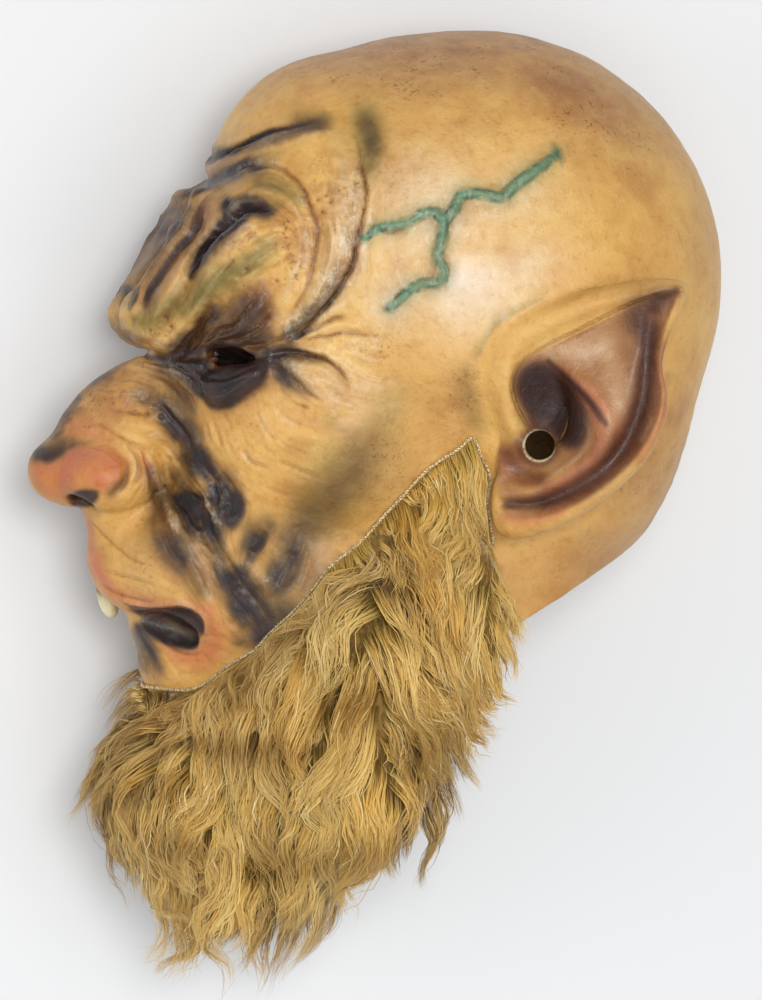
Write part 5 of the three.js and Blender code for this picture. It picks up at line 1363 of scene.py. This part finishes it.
def core_material():
    m = Nodes("fur_core"); b = m.b
    a = m.attr("paint")
    knit = m.new("ShaderNodeTexWave", wave_type="BANDS", bands_direction="X"); knit.inputs["Scale"].default_value = 260; knit.inputs["Distortion"].default_value = 2.0
    knit2 = m.new("ShaderNodeTexWave", wave_type="BANDS", bands_direction="Y"); knit2.inputs["Scale"].default_value = 190; knit2.inputs["Distortion"].default_value = 2.0
    c = m.new("ShaderNodeTexCoord"); m.link(c.outputs["Object"], knit.inputs["Vector"]); m.link(c.outputs["Object"], knit2.inputs["Vector"])
    k = m.math("MULTIPLY", knit.outputs["Fac"], knit2.outputs["Fac"])
    streak = m.noise(260, 4, 0.6, (1.0, 0.08, 1.0))
    # dark streaks down the under-fur: painted shade between the strands
    col = m.mix(m.ramp(streak, 0.4, 0.65, 0, 0.55), a.outputs["Color"], lin("#3E2A10"))
    col = m.mix(m.math("MULTIPLY", a.outputs["Alpha"], m.ramp(k, 0.0, 0.4, 0.85, 0.0)), col, lin("#9E8A5E"))
    m.put(b.inputs["Base Color"], m.mix(a.outputs["Alpha"], col, m.mix(m.ramp(k, 0.1, 0.7), lin("#A8946A"), a.outputs["Color"])))
    b.inputs["Roughness"].default_value = 0.9
    m.put(b.inputs["Normal"], m.bump(m.math("ADD", m.math("MULTIPLY", k, a.outputs["Alpha"]), streak), 0.6, 0.0008))
    b.inputs["Sheen Weight"].default_value = 0.2; b.inputs["Sheen Roughness"].default_value = 0.5
    return m.mat


core = fur_core(); core.data.materials.append(core_material()); shift(core)
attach(core, "root"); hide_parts("fur_beard")
print("core", round(time.time() - T0, 1))


def frames_along(pts):
    t = np.gradient(pts, axis=0)
    return t / (np.linalg.norm(t, axis=1, keepdims=True) + 1e-9)


def tube(path, radius, sides, side_hint):
    """vertices and triangles of a closed-ended tube along a path"""
    t = frames_along(path)
    a = np.cross(t, side_hint); a /= np.linalg.norm(a, axis=1, keepdims=True) + 1e-9
    b = np.cross(t, a)
    ang = np.arange(sides) * 2 * np.pi / sides
    v = path[:, None] + radius * (a[:, None] * np.cos(ang)[None, :, None] + b[:, None] * np.sin(ang)[None, :, None])
    n = len(path); v = np.concatenate([v.reshape(-1, 3), path[:1], path[-1:]])
    i = np.arange(n - 1)[:, None] * sides + np.arange(sides)[None]
    j = np.arange(n - 1)[:, None] * sides + (np.arange(sides)[None] + 1) % sides
    f = [np.stack([i, j, j + sides], -1).reshape(-1, 3), np.stack([i, j + sides, i + sides], -1).reshape(-1, 3)]
    k = np.arange(sides); l = (k + 1) % sides
    f.append(np.stack([np.full(sides, n * sides), l, k], 1)); f.append(np.stack([np.full(sides, n * sides + 1), (n - 1) * sides + k, (n - 1) * sides + l], 1))
    return v, np.concatenate(f)


# ------------------------------------------------------------------ the cord that trims the fur's edge
def edge_line():
    px = curve(list(reversed(EDGE_REAR)) + EDGE_FRONT[1:], 2.0)
    pts, hit = march(px[:, 0], px[:, 1], 0.9)
    pts = pts[hit]
    y = pts[-1][1] + 1.5
    xs = np.linspace(-160, -60, 2000); f = skull(np.stack([xs, np.full(2000, y), np.zeros(2000)], 1)) - 0.9
    pts = np.vstack([pts, [[xs[np.nonzero(f < 0)[0][0]], y, 0.0]]])
    full = np.vstack([pts, pts[-2::-1] * [1, 1, -1]])
    d = np.r_[0, np.cumsum(np.linalg.norm(np.diff(full, axis=0), axis=1))]
    s = np.linspace(0, d[-1], int(d[-1] / 0.7))
    full = np.stack([np.interp(s, d, full[:, i]) for i in range(3)], 1)
    for _ in range(14):
        full[1:-1] = (full[:-2] + full[1:-1] * 2 + full[2:]) / 4
    for _ in range(3):
        g = gradient(skull, full, 0.5)
        full += g * (0.9 - skull(full))[:, None]
    full[:, 2] = np.maximum(full[:, 2], FLOOR + 1.2)
    return full


EDGE = edge_line()


def edge_cord():
    g = gradient(skull, EDGE, 0.5); t = frames_along(EDGE); b = np.cross(t, g)
    d = np.r_[0, np.cumsum(np.linalg.norm(np.diff(EDGE, axis=0), axis=1))]
    vs, fs, n = [], [], 0
    for k in range(2):
        a = d / 3.0 * 2 * np.pi + k * np.pi + 0.5 * np.sin(d / 9)
        r = 0.42 + 0.10 * np.sin(d / 2.3 + k)
        path = EDGE + g * (np.cos(a) * r)[:, None] + b * (np.sin(a) * r)[:, None]
        v, f = tube(path, 0.40, 5, g)
        vs.append(v); fs.append(f + n); n += len(v)
    o = mesh_object("edge_cord", np.concatenate(vs), np.concatenate(fs), [])
    m = Nodes("edge_cord"); b = m.b
    m.put(b.inputs["Base Color"], m.mix(m.ramp(m.noise(1500, 3), 0.40, 0.62), lin("#8A6A30"), lin("#F0DDA8")))
    b.inputs["Roughness"].default_value = 0.62; b.inputs["Sheen Weight"].default_value = 0.3
    m.put(b.inputs["Normal"], m.bump(m.noise(2600, 2), 0.5, 0.0002))
    o.data.materials.append(m.mat)
    return shift(o)


cord = edge_cord()
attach(cord, "root"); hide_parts("fur_beard")


# ------------------------------------------------------------------ the long strands
STEPS = 10
COUNT, BAND = ((28600, 5600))     # strands, and how many of them stand close behind the cord
LOCKS, TUFTS = 340, 1500
rng = np.random.default_rng(41)


def roots(count):
    me = core.data; p = coords(me) * 1000 - SHIFT
    f = np.array([list(q.vertices)[:4] for q in me.polygons]); tri = np.concatenate([f[:, [0, 1, 2]], f[:, [0, 2, 3]]])
    a, b, c = p[tri[:, 0]], p[tri[:, 1]], p[tri[:, 2]]
    n = np.cross(b - a, c - a); area_ = np.linalg.norm(n, axis=1) / 2; mid = (a + b + c) / 3
    env = envelope(mid); inset = in_fur(mid) * MM_PX; sk = skull(mid)
    ok = (env > -under(sk, env, mid[:, 1]) - 1.2) & (sk > 0.75) & (neck_room(mid) > 1.0)
    side = np.where(mid[:, 2] > -6, 1.0, 0.46) * np.where(mid[:, 2] < FLOOR + 6, 0.25, 1.0)
    w = area_ * ok * side; w /= w.sum()
    k = rng.choice(len(w), count, p=w)
    r1, r2 = rng.random(count), rng.random(count); m = r1 + r2 > 1; r1[m] = 1 - r1[m]; r2[m] = 1 - r2[m]
    return a[k] + (b[k] - a[k]) * r1[:, None] + (c[k] - a[k]) * r2[:, None]


def flow(p):
    """the way the fur is combed: down from its edge, forward at the chin, back over the rear locks"""
    x, y, z = p[:, 0], p[:, 1], p[:, 2]
    lean = -0.34 * smooth(-x, 62, 120) + 0.85 * smooth(x, -26, 30) * smooth(-y, 30, 80) - 0.22 * smooth(x, -50, 0) * smooth(y, -50, -10) - 0.12 * smooth(-y, 150, 205)
    inset = in_fur(p) * MM_PX; clear = smooth(inset, 2, 20)
    swirl = 0.80 * noise(p, 34, 31) + 0.46 * noise(p, 16, 32)
    lean = np.where(lean < 0, lean * clear, lean) + 0.40 * (1 - smooth(inset, 0, 12)) * smooth(x, -100, -70)   # away from the cord
    out = np.stack([lean + swirl * (0.15 + 0.85 * clear), np.full(len(p), -1.0), 0.4 * noise(p, 30, 33) * np.sign(z + 0.01)], 1)
    return unit(out)


G_STEPS = 18


def comb(r):
    """guide locks: from each root out of the backing, over the surface and off its lower edge"""
    n = len(r)
    L = 56 + 9 * noise(r, 25, 34) + rng.normal(0, 8, n)
    inset = in_fur(r) * MM_PX
    L *= 0.60 + 0.40 * smooth(inset, 0, 30)
    L = np.clip(L, 24, 84)
    low_end = smooth(-r[:, 1], 105, 150)
    lim = np.where(rng.random(n) < 0.26, rng.uniform(4, 13, n), rng.uniform(-6, 3, n) - 12 * low_end) - 4 * low_end
    rear = rng.uniform(-12, -2, n)
    ds = L / G_STEPS
    p = r.copy(); path = [p.copy()]; stop = np.full(n, float(G_STEPS))
    d = unit(flow(p) + 0.9 * gradient(envelope, p, 1.0))
    lift_to = rng.uniform(-6.5, 2.2, n)
    for i in range(G_STEPS):
        g = gradient(envelope, p, 1.0); e = envelope(p)
        f = flow(p)
        dot = (f * g).sum(1)
        free = smooth(dot, 0.40, 0.75) * smooth(e, -9, -2)          # where it hangs off the lower edge
        tangent = f - g * (dot * (1 - free))[:, None]
        pull = np.clip((lift_to - e) * 0.12, -0.6, 0.6) * (1 - free)
        want = unit(unit(tangent) + g * pull[:, None])
        d = unit(d * 0.5 + want * 0.5)
        p = p + d * ds[:, None]
        p[:, 2] = np.maximum(p[:, 2], FLOOR + 0.9)
        out = (((envelope(p) > lim) & (dot > 0.3)) | ((behind(p) < rear) & (i > 5))) & (stop >= G_STEPS)
        stop[out] = i + 1
        path.append(p.copy())
    path = np.stack(path, 1)
    # drawn to where it leaves the fur, then thrown into waves that grow towards the tip
    stop = np.maximum(stop, 5)
    s = np.linspace(0, 1, G_STEPS + 1)[None] * stop[:, None]
    i = np.clip(s.astype(int), 0, G_STEPS - 1); a = (s - i)[..., None]; rows = np.arange(n)[:, None]
    path = path[rows, i] * (1 - a) + path[rows, i + 1] * a
    L = L * stop / G_STEPS
    t = np.linspace(0, 1, G_STEPS + 1)[None]
    tan = np.gradient(path, axis=1); tan /= np.linalg.norm(tan, axis=2, keepdims=True) + 1e-9
    nrm = gradient(envelope, path[:, G_STEPS // 2], 1.0)[:, None] * np.ones((1, G_STEPS + 1, 1))
    side = np.cross(tan, nrm); side /= np.linalg.norm(side, axis=2, keepdims=True) + 1e-9
    lam = (34 + 8 * noise(r, 40, 38) + rng.normal(0, 5, n))[:, None]
    amp = np.clip(4.0 + 2.0 * noise(r, 28, 37) + rng.normal(0, 1.1, n), 0.8, 7.5)[:, None] * np.clip(L / 50, 0.15, 1.1)[:, None]
    ph = (2 * np.pi * 0.9 * noise(r, 36, 36) + rng.normal(0, 0.7, n))[:, None]
    grow = 0.25 * t ** 0.5 + 0.85 * t ** 1.3
    wave = amp * grow * (np.sin(2 * np.pi * t * L[:, None] / lam + ph) - np.sin(ph) * (1 - t))
    lift_ = 0.55 * amp * grow * np.sin(2 * np.pi * t * L[:, None] / (lam * 1.1) + ph + rng.uniform(0.8, 2.2, n)[:, None])
    flick = rng.uniform(-3.5, 3.5, n)[:, None] * smooth(t, 0.6, 1.0)
    path = path + side * (wave + flick)[..., None] + nrm * lift_[..., None]
    # the fringe on the far side of the chin stands out in front of it
    far = (r[:, 2] < -3) & (inset < 11) & (r[:, 0] < -50) & (r[:, 1] > -96)
    k = int(far.sum())
    if k:
        tt = t[0][None, :, None]; l = (rng.uniform(24, 36, k) + np.clip(r[far, 0] + 90, 0, 30) * 0.6)[:, None, None]
        d0 = np.stack([rng.uniform(-0.85, -0.45, k), rng.uniform(-0.20, 0.62, k), rng.uniform(-0.35, 0.0, k)], 1)[:, None]
        path[far] = r[far][:, None] + l * (d0 * tt + np.array([-0.10, -1.0, 0.0]) * tt ** 2 * rng.uniform(0.55, 1.1, k)[:, None, None])
        path[far] += (rng.uniform(0.5, 2.2, k)[:, None, None] * tt * np.sin(6.0 * tt + rng.uniform(0, 6, k)[:, None, None])) * np.array([0.7, 0.7, 0.2])
        L[far] = l[:, 0, 0]
    return path, L


def spread(r, count, play):
    """evenly spaced picks, with some play"""
    pick = [0]; near_ = np.linalg.norm(r - r[0], axis=1)
    for _ in range(count - 1):
        k = int(np.argmax(near_ * rng.uniform(play, 1.0, len(r)))); pick.append(k)
        near_ = np.minimum(near_, np.linalg.norm(r - r[k], axis=1))
    return np.array(pick)


def nearest(a, b):
    out = np.empty(len(a), int)
    bb = (b * b).sum(1)
    for i in range(0, len(a), 4000):
        out[i:i + 4000] = np.argmin(bb[None] - 2 * a[i:i + 4000] @ b.T, 1)
    return out


def edge_roots(count):
    """roots on the skin itself, in a band just inside the cord"""
    out = []
    for sign, n in ((1, int(count * 0.78)), (-1, count - int(count * 0.78))):
        got = np.zeros((0, 3))
        while len(got) < n:
            u = rng.uniform(130, 500, 20000); v = rng.uniform(430, 735, 20000); sd = -sample(EDGE_SD, u, v)
            keep = (sd > 0.6) & (sd < 36) & (rng.random(20000) < 1.15 - sd / 40) & (v < 700 + 0.25 * (u - 130))
            q, hit = march(u[keep], v[keep], 0.7)
            q = q[hit]; q = q[(neck_room(q) > 1.0) & (behind(q) > 2.0)]
            got = np.vstack([got, q])
        got = got[:n].copy(); got[:, 2] *= sign
        out.append(got)
    out = np.vstack(out)
    return out[out[:, 2] > FLOOR + 2]


def fringe_roots(count):
    """on the far side of the chin, behind its cord"""
    got = np.zeros((0, 3))
    while len(got) < count:
        u = rng.uniform(142, 262, 4000); v = rng.uniform(640, 712, 4000); sd = -sample(EDGE_SD, u, v)
        q, hit = march(u[(sd > 1) & (sd < 22)], v[(sd > 1) & (sd < 22)], 0.7)
        got = np.vstack([got, q[hit]])
    return got[:count] * [1, 1, -1]


FRINGE = fringe_roots(520)
R = np.vstack([roots(COUNT - BAND), edge_roots(BAND), FRINGE])
BAND += len(FRINGE); COUNT = len(R)
GR = np.vstack([R[spread(R, LOCKS - 22, 0.5)], FRINGE[:22]])
SR = R[rng.choice(COUNT, TUFTS, replace=False)]
GP, GL = comb(GR)
sub_own = nearest(SR + np.stack([1.6 * noise(SR, 7, s) for s in (51, 52, 53)], 1), GR)
own2 = nearest(R, SR); own = sub_own[own2]
print("guides", round(time.time() - T0, 1))


def strands():
    n = COUNT; S1 = STEPS + 1
    t = np.linspace(0, 1, S1)
    wild = rng.random(n) < 0.13
    loose = (1 - 0.55 * smooth(-R[:, 1], 100, 140))[:, None]          # the lower locks end in thin wisps
    c1 = np.where(wild, rng.uniform(0.0, 0.3, n), rng.uniform(0.15, 0.55, TUFTS)[own2])[:, None] * t[None] ** 1.4 * loose
    c2 = np.where(wild, rng.uniform(-0.2, 0.5, n), rng.uniform(0.45, 0.95, n))[:, None] * t[None] ** 1.1
    lock_off = (SR - GR[sub_own])[own2]
    # each tuft and each strand reaches a little less or more far than its lock
    reach = np.minimum(rng.uniform(0.55, 1.06, TUFTS)[own2] * np.where(wild, rng.uniform(0.8, 1.3, n), rng.uniform(0.80, 1.02, n)), 1.0)
    s = t[None] * reach[:, None] * G_STEPS
    i = np.clip(s.astype(int), 0, G_STEPS - 1); a = (s - i)[..., None]
    path = GP[own[:, None], i] * (1 - a) + GP[own[:, None], i + 1] * a
    path = path + lock_off[:, None] * (1 - c1)[..., None] + (R - SR[own2])[:, None] * (1 - c2)[..., None]
    tan = np.gradient(path, axis=1); tan /= np.linalg.norm(tan, axis=2, keepdims=True) + 1e-9
    nrm = gradient(envelope, path[:, STEPS // 2], 1.0)[:, None] * np.ones((1, S1, 1))
    side = np.cross(tan, nrm); side /= np.linalg.norm(side, axis=2, keepdims=True) + 1e-9
    # the tuft's bend, then the strand's own crimp
    tl = rng.uniform(0.5, 1.0, TUFTS)[own2][:, None]; tp = rng.uniform(0, 6.28, TUFTS)[own2][:, None]; ta = rng.uniform(0.6, 3.3, TUFTS)[own2][:, None] * np.clip(GL[own] / 46, 0.12, 1.1)[:, None]
    path = path + side * (ta * t[None] * np.sin(2 * np.pi * t[None] / tl + tp))[..., None] + nrm * (0.7 * ta * t[None] * np.cos(2 * np.pi * t[None] / tl + tp * 1.7))[..., None]
    lam = rng.uniform(0.25, 0.6, n)[:, None]; ph = rng.uniform(0, 6.28, n)[:, None]
    am = np.where(wild, rng.uniform(0.8, 3.4, n), rng.uniform(0.1, 0.75, n))[:, None] * t[None] ** 0.8 * np.clip(GL[own] / 42, 0.15, 1.0)[:, None]
    path = path + side * (am * np.sin(2 * np.pi * t[None] / lam + ph))[..., None] + nrm * (0.5 * am * np.sin(2 * np.pi * t[None] / (lam * 1.3) + ph * 2.1))[..., None]
    path = path + nrm * (rng.uniform(-1.0, 1.2, n)[:, None] * np.minimum(t[None] * 3, 1))[..., None]
    flat = path.reshape(-1, 3)
    for _ in range(2):
        sk = skull(flat); m = sk < 1.1
        if m.any():
            flat[m] += gradient(skull, flat[m], 0.5) * (1.15 - sk[m])[:, None]
    flat[:, 2] = np.maximum(flat[:, 2], FLOOR + 0.35)
    # none of it lies over the cord
    held = np.repeat(np.arange(n) < n - len(FRINGE), S1)
    for _ in range(3):
        q = flat.copy(); q[:, 2] = np.abs(q[:, 2]); u, v = project(q); sd = sample(EDGE_SD, u, v)
        m = held & (sd > -2.0) & (u > 146) & ((u < 478) | (v < 545)) & (v < 690)
        gu = (sample(EDGE_SD, u[m] + 1, v[m]) - sample(EDGE_SD, u[m] - 1, v[m])) / 2; gv = (sample(EDGE_SD, u[m], v[m] + 1) - sample(EDGE_SD, u[m], v[m] - 1)) / 2
        k = np.clip(sd[m] + 2.0, 0, 30) * MM_PX
        flat[m, 0] -= gu * k; flat[m, 1] += gv * k
    path = flat.reshape(n, S1, 3)
    tan = np.gradient(path, axis=1); tan /= np.linalg.norm(tan, axis=2, keepdims=True) + 1e-9
    side = np.cross(tan, nrm); side /= np.linalg.norm(side, axis=2, keepdims=True) + 1e-9
    up = np.cross(side, tan)
    tw = (rng.normal(0, 0.28, n)[:, None] + rng.normal(0, 0.45, n)[:, None] * t[None])[..., None]
    side = side * np.cos(tw) + up * np.sin(tw)
    w0 = rng.uniform(0.28, 0.64, n)[:, None] * 1.0
    w = w0 * (0.8 + 0.3 * np.sin(np.pi * np.clip(t * 1.25, 0, 1)))[None] * (1 - t[None] ** 2.4 * 0.9)
    w = w[..., None] * 0.5
    # shaded as part of the lock it lies in, more than as a flat blade of its own
    own_n = np.cross(tan, side); own_n *= np.sign((own_n * nrm).sum(2, keepdims=True) + 1e-9)
    look = unit((0.55 * own_n + 0.75 * (nrm - tan * (nrm * tan).sum(2, keepdims=True))).reshape(-1, 3)).reshape(n, S1, 3)
    return path, side, w, t, wild, look


path, side, w, t, wild, look = strands()
# colour: each lock and tuft its own gold, darker towards the root as painted shade, lighter where it bends into the
# light as painted highlight
lock = rng.random(LOCKS); tuft = rng.random(TUFTS); patch = noise(GR, 30, 35)
mixv = np.clip(0.56 + 0.30 * (lock[own] - 0.5) + 0.34 * (tuft[own2] - 0.5) + 0.25 * patch[own] + rng.normal(0, 0.13, COUNT), 0, 1)
base = rgb("#C49340")[None] * (1 - mixv[:, None]) + rgb("#F5D88E")[None] * mixv[:, None]
pale = rng.random(COUNT) < 0.05
base[pale] = rgb("#F8E2A8")
dark = rng.random(COUNT) < 0.08
base[dark] = rgb("#A97C36")
deep = np.where(np.arange(COUNT) < COUNT - BAND, 0.50, 0.80)[:, None]      # roots by the cord are not shaded
grad = deep + (1.02 - deep) * smooth(t, 0.02, 0.36)[None] + 0.06 * smooth(t, 0.7, 1.0)[None]
col = base[:, None] * grad[:, :, None]
# the valleys between the tiers of locks lie in their own shade
VALLEY = zeros()
for cx, cy, rx, ry, rot, h in ((250, 752, 62, 16, 4, 0.9), (353, 707, 34, 22, -30, 0.9), (150, 790, 50, 16, -10, 0.6), (425, 762, 34, 40, -20, 0.8), (300, 862, 90, 18, -6, 0.55), (190, 850, 50, 14, 10, 0.5)):
    spot(VALLEY, cx, cy, rx, ry, rot, h, 2.5, mode="max")
# painted highlights on the crests of the locks and along one straight lock in front
CREST = zeros()
for cx, cy, rx, ry, rot, h in ((295, 742, 6, 54, 0, 1.0), (436, 596, 30, 60, -20, 0.6), (200, 716, 60, 22, 0, 0.5), (205, 900, 60, 34, 0, 0.4), (384, 800, 44, 40, 0, 0.4), (440, 680, 40, 26, 20, 0.5)):
    spot(CREST, cx, cy, rx, ry, rot, h, 2.5, mode="max")
q_ = path.copy(); q_[..., 2] = np.abs(q_[..., 2]); uu, vv = project(q_.reshape(-1, 3))
col *= (1 + 0.24 * sample(CREST, uu, vv).reshape(COUNT, STEPS + 1))[..., None]
col *= 1 - (sample(VALLEY, uu, vv).reshape(COUNT, STEPS + 1) * (1 - 0.5 * pale[:, None]))[..., None] * np.array([0.30, 0.37, 0.50])
# warmer towards the root, with its painted shade
col[..., 1] *= (0.95 + 0.05 * smooth(t, 0, 0.5))[None]
col[..., 2] *= (0.66 + 0.34 * smooth(t, 0, 0.5))[None]
col *= np.minimum(1, 0.97 / np.maximum(col.max(-1, keepdims=True), 1e-6))
col = to_linear(np.clip(col, 0, 1))


def hair_material():
    m = Nodes("golden_fur"); b = m.b
    a = m.attr("paint"); f = m.parts("fibre")     # across, along, strand's own number
    across = m.math("MULTIPLY_ADD", f[0], 19.0, m.math("MULTIPLY", f[2], 40.0))
    fine = m.math("SINE", m.math("ADD", across, m.math("MULTIPLY", m.math("SINE", m.math("MULTIPLY", f[1], 9.0)), 1.5)))
    fine = m.math("MULTIPLY_ADD", fine, 0.5, 0.5)
    col = m.mix(m.math("MULTIPLY", fine, 0.26), a.outputs["Color"], lin("#A87A36"))
    col = m.mix(m.ramp(m.noise(900, 2, 0.5, (1, 0.12, 1)), 0.52, 0.74, 0, 0.25), col, lin("#F4DC9E"))
    m.put(b.inputs["Base Color"], col)
    m.put(b.inputs["Roughness"], m.math("MULTIPLY_ADD", m.noise(240, 2), 0.2, 0.40))
    m.put(b.inputs["Normal"], m.bump(fine, 0.5, 0.0002))
    b.inputs["Specular IOR Level"].default_value = 0.20
    b.inputs["Sheen Weight"].default_value = 0.10; b.inputs["Sheen Roughness"].default_value = 0.4
    return m.mat


HAIR = hair_material()
order = np.argsort(R[:, 2] + 0.2 * R[:, 1])
BATCH = 8000
for b_i, start in enumerate(range(0, COUNT, BATCH)):
    k = order[start:start + BATCH]; n = len(k); S1 = STEPS + 1
    v = np.stack([path[k] - side[k] * w[k], path[k] + side[k] * w[k]], 2)           # strand, step, edge
    v[..., 2] = np.maximum(v[..., 2], FLOOR + 0.12)
    idx = np.arange(n * S1 * 2).reshape(n, S1, 2)
    q = np.stack([idx[:, :-1, 0], idx[:, :-1, 1], idx[:, 1:, 1], idx[:, 1:, 0]], -1).reshape(-1, 4)
    o = mesh_object("fur_%d" % (b_i + 1), v.reshape(-1, 3), q, [HAIR])
    o.data.normals_split_custom_set_from_vertices(np.repeat(look[k][:, :, None], 2, 2).reshape(-1, 3).tolist())
    c = np.repeat(col[k][:, :, None], 2, 2).reshape(-1, 3)
    paint_points(o.data, "paint", np.concatenate([c, np.ones((len(c), 1))], 1))
    fib = np.empty((n, S1, 2, 4)); fib[..., 0, 0] = 0; fib[..., 1, 0] = 1; fib[..., 1] = t[None, :, None]; fib[..., 2] = rng.random(n)[:, None, None]; fib[..., 3] = 1
    paint_points(o.data, "fibre", fib.reshape(-1, 4))
    shift(o)
    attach(o, "root"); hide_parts("fur_beard")
print("strands", round(time.time() - T0, 1))


# ------------------------------------------------------------------ floor, light, camera
def stage_floor():
    me = bpy.data.meshes.new("floor")
    s = 4.0
    me.from_pydata([(-s, -s, 0), (s, -s, 0), (s, s, 0), (-s, s, 0)], [], [(0, 1, 2, 3)])
    o = bpy.data.objects.new("floor", me); bpy.context.scene.collection.objects.link(o)
    m = Nodes("floor"); m.b.inputs["Base Color"].default_value = (0.82, 0.83, 0.84, 1); m.b.inputs["Roughness"].default_value = 0.85
    me.materials.append(m.mat)
    return o


stage_floor()


def area_light(name, at, aim, size, power, colour=(1, 1, 1)):
    l = bpy.data.lights.new(name, "AREA"); l.shape = "DISK"; l.size = size; l.energy = power; l.color = colour
    o = bpy.data.objects.new(name, l); bpy.context.scene.collection.objects.link(o)
    o.location = at; o.rotation_euler = (Vector(aim) - Vector(at)).to_track_quat("-Z", "Y").to_euler()
    return o


area_light("key", (-0.10, 0.20, 1.6), (0, 0, 0.08), 0.40, 9.5, (1.0, 0.985, 0.96))
area_light("front", (-1.3, 0.0, 1.1), (0, 0, 0.08), 0.9, 3.6, (1.0, 0.99, 0.98))
area_light("overhead", (0.1, 0.0, 1.9), (0, 0, 0.05), 1.5, 10, (1.0, 0.99, 0.98))
area_light("low", (0.3, -1.4, 0.9), (0, 0, 0.08), 1.2, 2.2, (0.98, 0.99, 1.0))
world = bpy.data.worlds.new("studio"); bpy.context.scene.world = world; world.use_nodes = True
world.node_tree.nodes["Background"].inputs[0].default_value = (0.90, 0.93, 0.97, 1); world.node_tree.nodes["Background"].inputs[1].default_value = 0.47

bpy.context.scene.view_settings.view_transform = "Standard"

cam = bpy.data.cameras.new("camera"); cam.sensor_width = 36; cam.lens = DIST / MM_PX / 1000 * 36; cam.clip_start = 0.05; cam.clip_end = 20
eye = bpy.data.objects.new("camera", cam); bpy.context.scene.collection.objects.link(eye)
rot = Matrix((RIGHT, UP, CAM)).transposed().to_4x4()
eye.matrix_world = Matrix.Translation(Vector((SHIFT + CAM * DIST) * 0.001)) @ rot
bpy.context.scene.camera = eye


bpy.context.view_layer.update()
print("done", round(time.time() - T0, 1))
